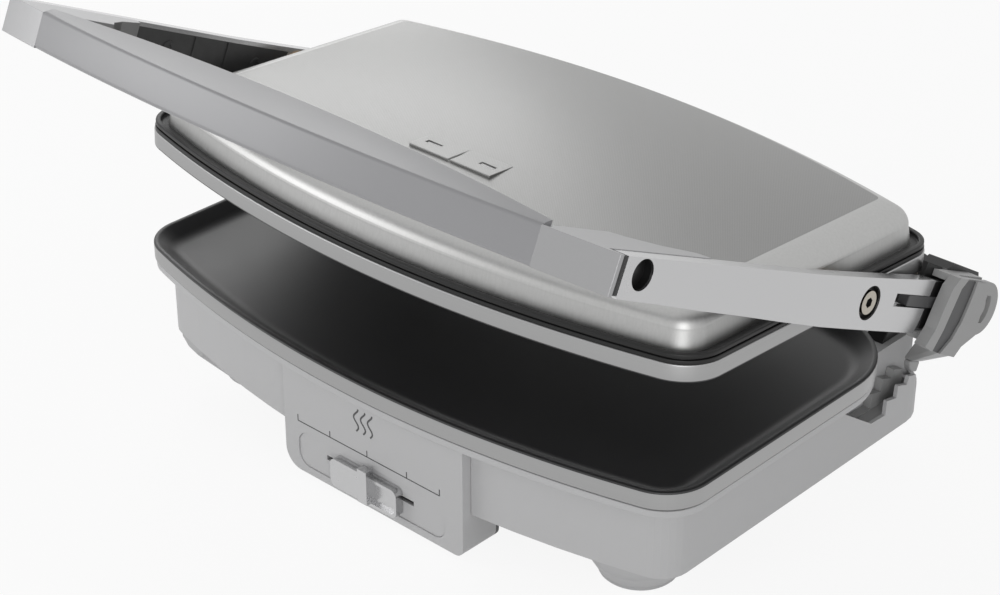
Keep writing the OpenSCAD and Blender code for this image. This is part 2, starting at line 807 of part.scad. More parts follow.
module arm_left() {
    left_side() arm();
}

// Screws that hold the knuckles to the arms
module arm_screws() {
    color(steel) in_handle() both_sides() for (p = knuckle_screw_places) {
        bar_x(arm_x - neck_inset, arm_x - neck_inset + 1.4, p[0], p[1], 7);
        bar_x(knuckle_x1 - 8, arm_x - neck_inset, p[0], p[1], arm_screw_d);
    }
}

bush_d = 11;
bush_flange_d = 14;
bush_flange_t = 1.4;
knuckle_wing_t = 2.2;
// Side outlines of the knuckle and of its wing, counted from the hinge
knuckle_line = [[-26.4, -13.7], [-6.4, -13.7], [4.8, -8.7], [8.1, -1.7], [4.8, 7.1], [3.1, 9.6],
    [-23.2, 12.5], [-28.4, 9.3]];
knuckle_wing = [[-48.4, 4.3], [-26.4, 0.3], [-26.4, 9.8], [-29.7, 9.2], [-48.4, 11.6]];
module hinge_knuckle() {
    color(black_plastic) in_handle() difference() {
        union() {
            side_plate(knuckle_x0, knuckle_x1, [for (q = knuckle_line) [hinge_y + q[0], hinge_z + q[1]]]);
            side_plate(knuckle_x1 - knuckle_wing_t, knuckle_x1,
                [for (q = knuckle_wing) [hinge_y + q[0], hinge_z + q[1]]]);
        }
        bar_x(knuckle_x0 - over, knuckle_x1 + over, hinge_y, hinge_z, bush_d);
        for (p = knuckle_screw_places) bar_x(knuckle_x1 - 8, knuckle_x1 + over, p[0], p[1], arm_screw_d);
    }
}
module hinge_knuckle_right() {
    hinge_knuckle();
}
module hinge_knuckle_left() {
    left_side() hinge_knuckle();
}

module hinge_bushes() {
    color([0.72, 0.58, 0.34]) in_handle() both_sides() difference() {
        union() {
            bar_x(knuckle_x0, knuckle_x1, hinge_y, hinge_z, bush_d);
            bar_x(knuckle_x0 - bush_flange_t, knuckle_x0, hinge_y, hinge_z, bush_flange_d);
        }
        bar_x(knuckle_x0 - 3, knuckle_x1 + over, hinge_y, hinge_z, hinge_pin_d + 2 * fit_gap);
    }
}

// Pivot screws and washers of the lid
washer_t = 1;
screw_head_d = 11;
screw_head_h = 2.6;
module pivot_screws() {
    color(steel) in_handle() both_sides() difference() {
        union() {
            bar_x(lid_bush_x + lid_bush_end_t + fit_gap, arm_x - counterbore_t + washer_t,
                pivot_y, pivot_z, pivot_d);
            bar_x(arm_x - counterbore_t + washer_t, arm_x - counterbore_t + washer_t + screw_head_h,
                pivot_y, pivot_z, screw_head_d);
        }
        translate([arm_x - 2, pivot_y, pivot_z]) rotate([0, 90, 0]) cylinder(d = 5, h = 5, $fn = 6);
    }
}

module pivot_washers() {
    color(steel) in_handle() both_sides() difference() {
        bar_x(arm_x - counterbore_t, arm_x - counterbore_t + washer_t, pivot_y, pivot_z, counterbore_d - 1);
        bar_x(arm_x - counterbore_t - over, arm_x, pivot_y, pivot_z, pivot_d + fit_gap);
    }
}

// Height clip round the rear of the right arm
clip_x0 = arm_x + 0.5;
clip_x1 = arm_x + 6.5;
clip_low_x = clip_x1 - 2;
clip_front_y = 60;
clip_strap_end_y = 98;
clip_inner_x = knuckle_x1 + slide_gap;
clip_top_z = 24.9;
clip_roof_z = 21.7;
clip_floor_z = -4.9;
clip_bottom_z = -7.5;
lug_y = 100.5;
lug_z = 11;
lug_r = 13;
foot_x0 = 159.6;
foot_x1 = 163.4;
foot_y0 = 102.5;
foot_y1 = 111.6;
foot_low_z = -30.5;
foot_chamfer = 3;
skirt_z = -25;
// Side outlines of the clip: ring and raised block
ring_front = [[clip_front_y - 6, clip_bottom_z - 1], [clip_front_y - 1.5, 0], [clip_front_y, 10],
    [clip_front_y + 2, 20], [clip_front_y + 6, clip_top_z]];
ring_back = [[clip_front_y + 14, clip_top_z], [clip_front_y + 10, 20], [clip_front_y + 8, 10],
    [clip_front_y + 6, 0], [clip_front_y + 2, -10.5]];
block_front = [[70, -11.4], [77, -4], [81, 5], [82.5, 14], [83.5, clip_top_z - 0.5]];
block_back = [[92, clip_top_z - 1.5], [94.5, 12], [94, 1], [84.6, -12.7]];
pad_inset = 0.3;
module height_clip() {
    color(painted) in_handle() {
        difference() {
            union() {
                side_plate(clip_x0, clip_low_x, concat(ring_front, [[lug_y, clip_top_z - 1], [104, -1],
                    [84.6, -12.7]]));
                bar_x(clip_x0, clip_low_x, lug_y, lug_z, 2 * lug_r);
                side_plate(clip_x0, clip_x1, concat(ring_front, ring_back));
                side_plate(clip_x0, clip_x1, concat(block_front, block_back));
            }
            clip_slot();
        }
        block([clip_inner_x, clip_front_y + 5, clip_roof_z], [clip_x0, clip_strap_end_y, clip_top_z]);
        block([clip_inner_x, clip_front_y, clip_bottom_z], [clip_x0, 86, clip_floor_z]);
        hull() {
            block([clip_inner_x, 74, clip_bottom_z], [clip_low_x, 84.6, clip_bottom_z + 1]);
            side_plate(clip_x0, clip_low_x, [[76, -11], [84.6, -12.7], [102, -2.3], [84.6, -6]]);
            block([foot_x0, foot_y0, skirt_z], [foot_x1, foot_y1, skirt_z + 1]);
        }
    }
}

// Crescent slot in the rear lug
module clip_slot() {
    intersection() {
        difference() {
            bar_x(clip_x0 - over, clip_x1 + over, lug_y - 4, lug_z + 0.3, 2 * 10.2);
            bar_x(clip_x0 - over, clip_x1 + over, lug_y - 4, lug_z + 0.3, 2 * 5.8);
        }
        block([clip_x0 - over, lug_y + 0.5, lug_z - 7], [clip_x1 + over, lug_y + 12, lug_z + 6.6]);
    }
}

// Dark pad between the ring and the raised block
module clip_grip_pad() {
    color(grey_plastic) in_handle() side_plate(clip_low_x, clip_low_x + 0.9,
        concat([for (i = [0:3]) ring_back[i] + [pad_inset, i == 0 ? -1 : 0]],
        [ring_back[4] + [pad_inset, 0.4]],
        [for (i = [0:4]) block_front[i] + [-pad_inset, i == 4 ? -0.6 : 0]]));
}

module clip_foot() {
    color(painted) in_handle() side_plate(foot_x0, foot_x1, [[foot_y0, skirt_z],
        [foot_y0, foot_low_z + foot_chamfer], [foot_y0 + foot_chamfer, foot_low_z], [foot_y1, foot_low_z],
        [foot_y1, skirt_z]]);
}

tongue_spare = 3;
tongue_end_gap = 2;
module clip_tongue() {
    color(grey_plastic) in_handle() {
        block([knuckle_x1 + 2, slot_y0 + clip_travel + tongue_spare, slot_z0 + slide_gap],
            [arm_x - 0.6, slot_y1 - tongue_end_gap, slot_z1 - slide_gap]);
        block([arm_x - 0.6, clip_front_y + 2, slot_z0 + slide_gap],
            [clip_x0, slot_y1 - tongue_end_gap, slot_z1 - slide_gap]);
    }
}

// Lid cover: round shoulder up to a crisp crease, then a low dome
lid_band = band_h - 0.6;
rim_top_z = lid_band + lid_rim_h;
gutter_z = lid_band + 2.6;
cover_inset = 8.5;
shoulder = [[cover_inset, gutter_z], [cover_inset + 0.4, 20], [cover_inset + 1, 23.6], [12.5, 26.6],
    [17, crease_z - 1.2], [crease_inset, crease_z]];
dome_insets = [45, 68, 90];
function dome_z(d) = crease_z + dome_rise * (1 - pow((95 - d) / (95 - crease_inset), 2));
cover_steps = concat(shoulder, [for (d = dome_insets) [d, dome_z(d)]]);

module cover_solid(t) {
    hull() for (s = cover_steps) slab(s[1] - t, s[1] - t + skin, lid_outline(s[0] + t));
}

shield_top_z = 21;
shield_inset = 17;
panel_half_w = 25.5;
lamp_y0 = -69;
lamp_y1 = -53;
lamp_y = (lamp_y0 + lamp_y1) / 2;
lamp_wall = 1.5;
lamp_frame_t = 3;
lamp_z = dome_z(62);
module lid_cover() {
    color(steel) in_lid() difference() {
        cover_solid(0);
        translate([0, 0, -fit_gap]) cover_solid(cover_t);
        block([-panel_half_w - fit_gap, lamp_y0 - fit_gap, shield_top_z],
            [panel_half_w + fit_gap, lamp_y1 + fit_gap, lamp_z + 2 * over]);
    }
}

rim_inner = 15.5;
lip_inset = 0.7;
lip_t = 2.6;
groove_h = 0.7;
module lid_rim() {
    color(black_plastic) in_lid() difference() {
        union() {
            ring(lid_band, gutter_z - groove_h, lid_outline(0.4), lid_outline(rim_inner));
            ring(gutter_z - groove_h, gutter_z, lid_outline(lip_inset + 1), lid_outline(rim_inner));
            ring(gutter_z, rim_top_z, lid_outline(lip_inset), lid_outline(lip_inset + lip_t));
        }
        both_sides() bush_hole();
    }
}

// Bush that the pivot screw turns in
lid_bush_d = 9.6;
lid_bush_x = half_w - 5.4;
lid_bush_end_t = 0.4;
lid_bush_flange_d = 20;
module bush_hole() {
    bar_x(lid_bush_x - fit_gap, half_w + over, pivot_y, pivot_z - plate_gap, lid_bush_d + 2 * fit_gap);
}

upper_under_z = lid_band + 1;
upper_depth = recess_depth - 1.5;
upper_lip_w = 6.5;
upper_slope = 6;
module upper_plate() {
    color(non_stick) in_lid() difference() {
        union() {
            slab(0, lid_band, lid_outline(0));
            slab(lid_band, upper_under_z, lid_outline(rim_inner + 0.5));
        }
        hull() {
            slab(upper_depth - skin, upper_depth, lid_outline(upper_lip_w + upper_slope));
            slab(-2 * skin, -skin, lid_outline(upper_lip_w));
        }
        both_sides() bush_hole();
    }
}

module upper_heating_element() {
    color(steel) in_lid() heater_loop(upper_under_z + tube_d / 2);
}

module upper_heat_shield() {
    color(steel) in_lid() {
        ring(gutter_z, gutter_z + shield_t, lid_outline(cover_inset + cover_t + fit_gap),
            lid_outline(shield_inset + shield_t));
        ring(gutter_z + shield_t, shield_top_z, lid_outline(shield_inset),
            lid_outline(shield_inset + shield_t));
        slab(shield_top_z, shield_top_z + shield_t, lid_outline(shield_inset));
    }
}

module upper_thermostat() {
    color([0.75, 0.70, 0.60]) in_lid() translate([0, loop_y, upper_under_z])
        cylinder(d = thermostat_d, h = thermostat_h, $fn = 40);
}

module lid_bush() {
    color([0.72, 0.58, 0.34]) in_lid() difference() {
        union() {
            bar_x(lid_bush_x, half_w, pivot_y, pivot_z - plate_gap, lid_bush_d);
            bar_x(half_w, knuckle_x1 - slide_gap, pivot_y, pivot_z - plate_gap, lid_bush_flange_d);
        }
        bar_x(lid_bush_x + lid_bush_end_t, arm_x, pivot_y, pivot_z - plate_gap, pivot_d + 2 * fit_gap);
    }
}
module lid_bush_right() {
    lid_bush();
}
module lid_bush_left() {
    left_side() lid_bush();
}

// Lamp panel on the lid with two slots
lens_x = 17;
lens_w = 9;
lens_d = 2.6;
lens_gap = 0.1;
lamp_board_t = 1.6;
lamp_post_x = 8;
lamp_post_d = 4;
module lamp_panel() {
    color(painted) in_lid() difference() {
        block([-panel_half_w, lamp_y0, lamp_z - lamp_frame_t], [panel_half_w, lamp_y1, lamp_z + slide_gap]);
        block([-0.4, lamp_y0 - over, lamp_z - 0.5], [0.4, lamp_y1 + over, lamp_z + over]);
        for (sx = [-1, 1])
            block([sx * lens_x - lens_w / 2, lamp_y - lens_d / 2, lamp_z - lamp_frame_t - over],
                [sx * lens_x + lens_w / 2, lamp_y + lens_d / 2, lamp_z + over]);
        block([lamp_wall - panel_half_w, lamp_y0 + lamp_wall, lamp_z - lamp_frame_t - over],
            [panel_half_w - lamp_wall, lamp_y1 - lamp_wall, lamp_z - lamp_frame_t / 2]);
    }
}

module lamp_lenses() {
    color([0.15, 0.15, 0.16]) in_lid() for (sx = [-1, 1])
        block([sx * lens_x - lens_w / 2 + lens_gap, lamp_y - lens_d / 2 + lens_gap, lamp_z - lamp_frame_t],
            [sx * lens_x + lens_w / 2 - lens_gap, lamp_y + lens_d / 2 - lens_gap, lamp_z - 0.2]);
}

module lamp_board() {
    lamp_board_z = lamp_z - lamp_frame_t - lamp_board_t;
    color([0.10, 0.32, 0.18]) in_lid() {
        block([lamp_wall - panel_half_w, lamp_y0 + lamp_wall, lamp_board_z],
            [panel_half_w - lamp_wall, lamp_y1 - lamp_wall, lamp_z - lamp_frame_t]);
        for (sx = [-1, 1]) translate([sx * lamp_post_x, lamp_y, shield_top_z + shield_t])
            cylinder(d = lamp_post_d, h = lamp_board_z - shield_top_z - shield_t, $fn = 32);
    }
}

base_housing();
bottom_cover();
base_frame();
plate_gasket();
lower_plate();
lower_heating_element();
lower_heat_shield();
lower_thermostat();
thermal_fuse();
terminal_block();
cord_gland();
control_panel();
slider_track();
control_back_cover();
control_board();
slide_potentiometer();
step_rack();
hinge_post_left();
hinge_post_right();
hinge_pin_left();
hinge_pin_right();
feet();
foot_screws();
housing_screws();
slider_knob();
slider_carriage();
handle_grip();
handle_corner_left();
handle_corner_right();
corner_spacers();
arm_left();
arm_right();
arm_screws();
hinge_knuckle_left();
hinge_knuckle_right();
hinge_bushes();
pivot_screws();
pivot_washers();
height_clip();
clip_foot();
clip_tongue();
clip_grip_pad();
lid_cover();
lid_rim();
upper_plate();
upper_heating_element();
upper_heat_shield();
upper_thermostat();
lid_bush_left();
lid_bush_right();
lamp_panel();
lamp_lenses();
lamp_board();
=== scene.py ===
"""Looks of a contact press: bowed plates, a brushed lid in a swing handle, a height clip and a heat slider.

Lengths inside the classes are millimetres in the press's closed frame, whose z = 0 is the rim of the
lower plate. The three place functions turn them into metres in the row frame.
"""
import logging
import math
from dataclasses import dataclass
from enum import Enum
from typing import Callable, Sequence

import bpy
import numpy as np
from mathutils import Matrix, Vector


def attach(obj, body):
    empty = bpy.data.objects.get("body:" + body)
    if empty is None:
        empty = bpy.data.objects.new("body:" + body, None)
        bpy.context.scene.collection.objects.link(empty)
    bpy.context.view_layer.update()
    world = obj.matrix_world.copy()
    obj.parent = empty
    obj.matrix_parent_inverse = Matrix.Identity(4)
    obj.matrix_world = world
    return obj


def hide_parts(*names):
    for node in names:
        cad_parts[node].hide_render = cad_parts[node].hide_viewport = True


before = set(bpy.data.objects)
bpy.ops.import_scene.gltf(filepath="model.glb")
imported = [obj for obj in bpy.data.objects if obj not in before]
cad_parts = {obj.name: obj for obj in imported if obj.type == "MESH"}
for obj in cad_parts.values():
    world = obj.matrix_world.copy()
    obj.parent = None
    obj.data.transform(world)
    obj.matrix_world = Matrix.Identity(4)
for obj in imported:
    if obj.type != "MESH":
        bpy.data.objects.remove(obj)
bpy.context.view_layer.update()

log = logging.getLogger("press")
MM = 0.001

# Sizes shared with the solids
RIM_HEIGHT = 76.0
HINGE = (106.4, 15.7)
PIVOT = (3.7, 8.1)
PLATE_GAP = 0.6
OPEN_ANGLE = 25.0
LID_TILT = 3.7
ARM_X = 186.0
ARM_T = 7.8
BAND_H = 9.0
LID_BAND_H = 8.4
CORE_INSET = 72.0


class Body(str, Enum):
    """The moving bodies of the press."""

    BASE = "base"
    HANDLE = "handle"
    CLIP = "height_clip_body"
    LID = "lid"
    SLIDER = "slider"


def turn_x(points: np.ndarray, degrees: float, y: float, z: float) -> np.ndarray:
    """Turn points about the X axis through (y, z).

    Args:
        points: array whose last axis is x, y, z.
        degrees: right-hand turn about +X.
        y: y of the axis.
        z: z of the axis.

    Returns:
        The turned points, y' = y0 + dy cos a - dz sin a and z' = z0 + dy sin a + dz cos a.
    """
    a = math.radians(degrees)
    out = points.copy()
    dy, dz = points[..., 1] - y, points[..., 2] - z
    out[..., 1] = y + dy * math.cos(a) - dz * math.sin(a)
    out[..., 2] = z + dy * math.sin(a) + dz * math.cos(a)
    return out


def place_base(points: np.ndarray) -> np.ndarray:
    """Lift points by the rim's height and turn them to metres."""
    return (points + np.array([0.0, 0.0, RIM_HEIGHT])) * MM


def place_handle(points: np.ndarray) -> np.ndarray:
    """Swing closed-frame points up with the handle, to metres."""
    return place_base(turn_x(points, -OPEN_ANGLE, *HINGE))


def place_lid(points: np.ndarray) -> np.ndarray:
    """Hang lid points in the swung handle, to metres. Their z = 0 is the lid's mating face."""
    lifted = points + np.array([0.0, 0.0, PLATE_GAP])
    return place_handle(turn_x(lifted, OPEN_ANGLE - LID_TILT, *PIVOT))


@dataclass(frozen=True)
class Bow:
    """An outline with straight sides and bowed front and rear.

    Its point at inset d lies on arcs that share the centres of the full outline's arcs, so every inset
    is a true parallel of the edge.
    """

    half_w: float = 175.0
    front_y: float = -130.0
    front_r: float = 585.0
    front_corner: float = 28.0
    rear_y: float = 95.0
    rear_r: float = 625.0
    rear_corner: float = 28.0
    n_long: int = 48
    n_corner: int = 14
    n_side: int = 10

    def ring(self, inset: float) -> np.ndarray:
        """Closed ring of x, y points at one inset, counter-clockwise from the front left.

        Args:
            inset: distance inward from the edge in mm.

        Returns:
            Array (n, 2). Each run is either centre + r (cos t, sin t) or a straight side.
        """
        f = max(self.front_corner - inset, 3.0)
        r = max(self.rear_corner - inset, 3.0)
        w = self.half_w - inset
        cf, cr = self.front_y + self.front_r, self.rear_y - self.rear_r
        big_f, big_r = self.front_r - inset, self.rear_r - inset
        yf = cf - math.sqrt((big_f - f) ** 2 - (w - f) ** 2)
        yr = cr + math.sqrt((big_r - r) ** 2 - (w - r) ** 2)
        af, ar = math.atan2(w - f, cf - yf), math.atan2(w - r, yr - cr)
        quarter = math.pi / 2
        front = self._arc(0, cf, big_f, -quarter - af, -quarter + af, self.n_long)
        turn_f = self._arc(w - f, yf, f, -quarter + af, 0, self.n_corner)
        side = self._line((w, yf), (w, yr))
        turn_r = self._arc(w - r, yr, r, 0, quarter - ar, self.n_corner)
        rear = self._arc(0, cr, big_r, quarter - ar, quarter + ar, self.n_long)
        mirrored = [part[::-1] * np.array([-1.0, 1.0]) for part in (turn_r, side, turn_f)]
        parts = [front, turn_f, side, turn_r, rear, *mirrored]
        return np.vstack([part[:-1] for part in parts])

    @staticmethod
    def _arc(cx: float, cy: float, r: float, a0: float, a1: float, n: int) -> np.ndarray:
        """Arc of n steps about (cx, cy)."""
        t = np.linspace(a0, a1, n + 1)
        return np.stack([cx + r * np.cos(t), cy + r * np.sin(t)], 1)

    def _line(self, a: tuple[float, float], b: tuple[float, float]) -> np.ndarray:
        """Straight run from a to b."""
        t = np.linspace(0, 1, self.n_side + 1)[:, None]
        return np.array(a) * (1 - t) + np.array(b) * t

    def sweep(self, profile: Sequence[tuple[float, float]]) -> np.ndarray:
        """Carry a profile of (inset, z) pairs round the outline.

        Returns:
            Array (len(profile), n, 3) whose row i is the ring at inset d_i, lifted to z_i.
        """
        rows = []
        for inset, z in profile:
            xy = self.ring(inset)
            rows.append(np.column_stack([xy, np.full(len(xy), z)]))
        return np.array(rows)


LID_BOW = Bow(front_corner=22.0, rear_corner=16.0)
LOWER_BOW = Bow(half_w=174.85, front_corner=24.0, rear_y=86.0, rear_corner=47.0)


def round_corner(a: tuple, corner: tuple, b: tuple, r: float, n: int = 5) -> list[tuple[float, float]]:
    """Points that round a profile's corner by a quadratic curve.

    P(t) = (1-t)^2 A + 2t(1-t) C + t^2 B, with A and B at distance r from the corner C.
    """
    pa, pc, pb = (np.array(p, float) for p in (a, corner, b))
    start = pc + (pa - pc) / np.linalg.norm(pa - pc) * r
    end = pc + (pb - pc) / np.linalg.norm(pb - pc) * r
    t = np.linspace(0, 1, n)[:, None]
    pts = (1 - t) ** 2 * start + 2 * t * (1 - t) * pc + t ** 2 * end
    return [tuple(p) for p in pts]


def rounded(points: Sequence[tuple[float, float]], radii: Sequence[float],
            n: int = 5) -> list[tuple[float, float]]:
    """Profile whose inner corners are rounded by their own radii; a radius of 0 keeps the corner.

    Args:
        points: corner points of an open profile.
        radii: one radius for each point; those of the ends are not used.
        n: points on each rounded corner.

    Returns:
        The finer profile.
    """
    out = [points[0]]
    for i in range(1, len(points) - 1):
        if radii[i] > 0:
            out += round_corner(points[i - 1], points[i], points[i + 1], radii[i], n)
        else:
            out.append(points[i])
    out.append(points[-1])
    return out


class Shell:
    """Collects patches of a surface and makes one mesh of them."""

    def __init__(self) -> None:
        """Start empty."""
        self.points: list[np.ndarray] = []
        self.faces: list[np.ndarray] = []
        self.slots: list[np.ndarray] = []
        self.count = 0

    def grid(self, p: np.ndarray, loop: bool = True, flip: bool = False, slot: int = 0) -> "Shell":
        """Add a grid of points as quads.

        Args:
            p: array (rows, columns, 3).
            loop: join the last column to the first.
            flip: turn the faces over.
            slot: material slot of the patch.

        Returns:
            The shell itself.
        """
        rows, cols = p.shape[:2]
        i = np.arange(rows - 1)[:, None]
        j = np.arange(cols if loop else cols - 1)[None, :]
        a = i * cols + j
        b = i * cols + (j + 1) % cols
        quads = np.stack([a, b, b + cols, a + cols], -1).reshape(-1, 4)
        return self._add(p.reshape(-1, 3), quads[:, ::-1] if flip else quads, slot)

    def cap(self, ring: np.ndarray, flip: bool = False, slot: int = 0) -> "Shell":
        """Close a ring with a fan round its mean point."""
        n = len(ring)
        centre = ring.mean(0)[None]
        j = np.arange(n)
        tris = np.stack([j, (j + 1) % n, np.full(n, n), np.full(n, n)], 1)
        return self._add(np.vstack([ring, centre]), tris[:, [1, 0, 2, 2]] if flip else tris, slot)

    def _add(self, p: np.ndarray, f: np.ndarray, slot: int) -> "Shell":
        """Store points and faces."""
        self.points.append(p)
        self.faces.append(f + self.count)
        self.slots.append(np.full(len(f), slot))
        self.count += len(p)
        return self

    def build(self, name: str, place: Callable[[np.ndarray], np.ndarray], angle: float = 32.0,
              mirror: bool = False) -> bpy.types.Object:
        """Make the object, with doubles merged and edges above the angle kept sharp.

        Args:
            name: name of the object.
            place: turns the closed-frame points into the row frame.
            angle: crease angle in degrees.
            mirror: reflect the points in X first.

        Returns:
            The new object, at the origin.
        """
        p = np.vstack(self.points)
        if mirror:
            p = p * np.array([-1.0, 1.0, 1.0])
        faces = [tuple(dict.fromkeys(int(v) for v in f)) for f in np.vstack(self.faces)]
        if mirror:
            faces = [f[::-1] for f in faces]
        mesh = bpy.data.meshes.new(name)
        mesh.from_pydata(place(p), [], faces)
        mesh.polygons.foreach_set("material_index", np.concatenate(self.slots).astype(np.int32))
        obj = bpy.data.objects.new(name, mesh)
        bpy.context.scene.collection.objects.link(obj)
        self._merge(mesh)
        mesh.polygons.foreach_set("use_smooth", np.ones(len(mesh.polygons), bool))
        mesh.set_sharp_from_angle(angle=math.radians(angle))
        mesh.update()
        return obj

    @staticmethod
    def _merge(mesh: bpy.types.Mesh) -> None:
        """Merge points that lie together and make the normals agree."""
        import bmesh
        bm = bmesh.new()
        bm.from_mesh(mesh)
        bmesh.ops.remove_doubles(bm, verts=bm.verts, dist=2e-6)
        bmesh.ops.recalc_face_normals(bm, faces=bm.faces)
        bm.to_mesh(mesh)
        bm.free()


# Shared shader effects

def group_input(group: bpy.types.NodeTree, name: str, value: float) -> None:
    """Add a named float input with its default."""
    socket = group.interface.new_socket(name=name, in_out="INPUT", socket_type="NodeSocketFloat")
    socket.default_value = value


def make_grain_group() -> bpy.types.NodeTree:
    """Fine isotropic grain: colour and roughness masks and a height for the bump.

    Returns:
        A group with inputs Scale and Contrast and outputs Mask and Height.
    """
    g = bpy.data.node_groups.new("fine_grain", "ShaderNodeTree")
    group_input(g, "Scale", 900.0)
    group_input(g, "Contrast", 0.5)
    for name in ("Mask", "Height"):
        g.interface.new_socket(name=name, in_out="OUTPUT", socket_type="NodeSocketFloat")
    n, link = g.nodes, g.links.new
    gi, go = n.new("NodeGroupInput"), n.new("NodeGroupOutput")
    coord, fine, broad = n.new("ShaderNodeTexCoord"), n.new("ShaderNodeTexNoise"), n.new("ShaderNodeTexNoise")
    ratio, mix, centre, gain = (n.new("ShaderNodeMath") for _ in range(4))
    ratio.operation, ratio.inputs[1].default_value = "MULTIPLY", 0.04
    mix.operation = "ADD"
    centre.operation, centre.inputs[1].default_value = "SUBTRACT", 1.0
    gain.operation = "MULTIPLY"
    fine.inputs["Detail"].default_value = 3.0
    broad.inputs["Detail"].default_value = 2.0
    link(coord.outputs["Object"], fine.inputs["Vector"])
    link(coord.outputs["Object"], broad.inputs["Vector"])
    link(gi.outputs["Scale"], fine.inputs["Scale"])
    link(gi.outputs["Scale"], ratio.inputs[0])
    link(ratio.outputs[0], broad.inputs["Scale"])
    link(fine.outputs["Fac"], mix.inputs[0])
    link(broad.outputs["Fac"], mix.inputs[1])
    link(mix.outputs[0], centre.inputs[0])
    link(centre.outputs[0], gain.inputs[0])
    link(gi.outputs["Contrast"], gain.inputs[1])
    link(gain.outputs[0], go.inputs["Mask"])
    link(fine.outputs["Fac"], go.inputs["Height"])
    return g


def make_brush_group() -> bpy.types.NodeTree:
    """Brushed lines: noise drawn out along one direction of the object's axes.

    Returns:
        A group with inputs Across X, Across Y, Across Z (lines per metre seen along each axis) and
        Contrast, and outputs Mask and Height.
    """
    g = bpy.data.node_groups.new("brushed_lines", "ShaderNodeTree")
    for name, value in (("Across X", 20.0), ("Across Y", 20.0), ("Across Z", 3000.0), ("Contrast", 0.5)):
        group_input(g, name, value)
    for name in ("Mask", "Height"):
        g.interface.new_socket(name=name, in_out="OUTPUT", socket_type="NodeSocketFloat")
    n, link = g.nodes, g.links.new
    gi, go = n.new("NodeGroupInput"), n.new("NodeGroupOutput")
    coord, scale = n.new("ShaderNodeTexCoord"), n.new("ShaderNodeCombineXYZ")
    stretch = n.new("ShaderNodeVectorMath")
    noise, centre, gain = n.new("ShaderNodeTexNoise"), n.new("ShaderNodeMath"), n.new("ShaderNodeMath")
    stretch.operation = "MULTIPLY"
    centre.operation, centre.inputs[1].default_value = "SUBTRACT", 0.5
    gain.operation = "MULTIPLY"
    noise.inputs["Scale"].default_value = 1.0
    noise.inputs["Detail"].default_value = 4.0
    noise.inputs["Roughness"].default_value = 0.7
    for axis, name in zip("XYZ", ("Across X", "Across Y", "Across Z")):
        link(gi.outputs[name], scale.inputs[axis])
    link(coord.outputs["Object"], stretch.inputs[0])
    link(scale.outputs[0], stretch.inputs[1])
    link(stretch.outputs[0], noise.inputs["Vector"])
    link(noise.outputs["Fac"], centre.inputs[0])
    link(centre.outputs[0], gain.inputs[0])
    link(gi.outputs["Contrast"], gain.inputs[1])
    link(gain.outputs[0], go.inputs["Mask"])
    link(noise.outputs["Fac"], go.inputs["Height"])
    return g


def make_linen_group() -> bpy.types.NodeTree:
    """Embossed crosshatch of the lid's top: two sets of waves at right angles.

    Returns:
        A group with the input Pitch in threads per metre, and outputs Mask and Height.
    """
    g = bpy.data.node_groups.new("embossed_hatch", "ShaderNodeTree")
    group_input(g, "Pitch", 420.0)
    for name in ("Mask", "Height"):
        g.interface.new_socket(name=name, in_out="OUTPUT", socket_type="NodeSocketFloat")
    n, link = g.nodes, g.links.new
    gi, go = n.new("NodeGroupInput"), n.new("NodeGroupOutput")
    coord = n.new("ShaderNodeTexCoord")
    waves = []
    for turn in (math.radians(38), math.radians(-38)):
        spin, wave = n.new("ShaderNodeMapping"), n.new("ShaderNodeTexWave")
        spin.inputs["Rotation"].default_value = (0, 0, turn)
        wave.wave_type, wave.bands_direction, wave.wave_profile = "BANDS", "X", "SIN"
        wave.inputs["Distortion"].default_value = 0.6
        wave.inputs["Detail"].default_value = 1.0
        link(coord.outputs["Object"], spin.inputs["Vector"])
        link(spin.outputs[0], wave.inputs["Vector"])
        link(gi.outputs["Pitch"], wave.inputs["Scale"])
        waves.append(wave)
    both, centre = n.new("ShaderNodeMath"), n.new("ShaderNodeMath")
    both.operation = "MULTIPLY"
    centre.operation, centre.inputs[1].default_value = "SUBTRACT", 0.25
    link(waves[0].outputs["Fac"], both.inputs[0])
    link(waves[1].outputs["Fac"], both.inputs[1])
    link(both.outputs[0], centre.inputs[0])
    link(centre.outputs[0], go.inputs["Mask"])
    link(both.outputs[0], go.inputs["Height"])
    return g


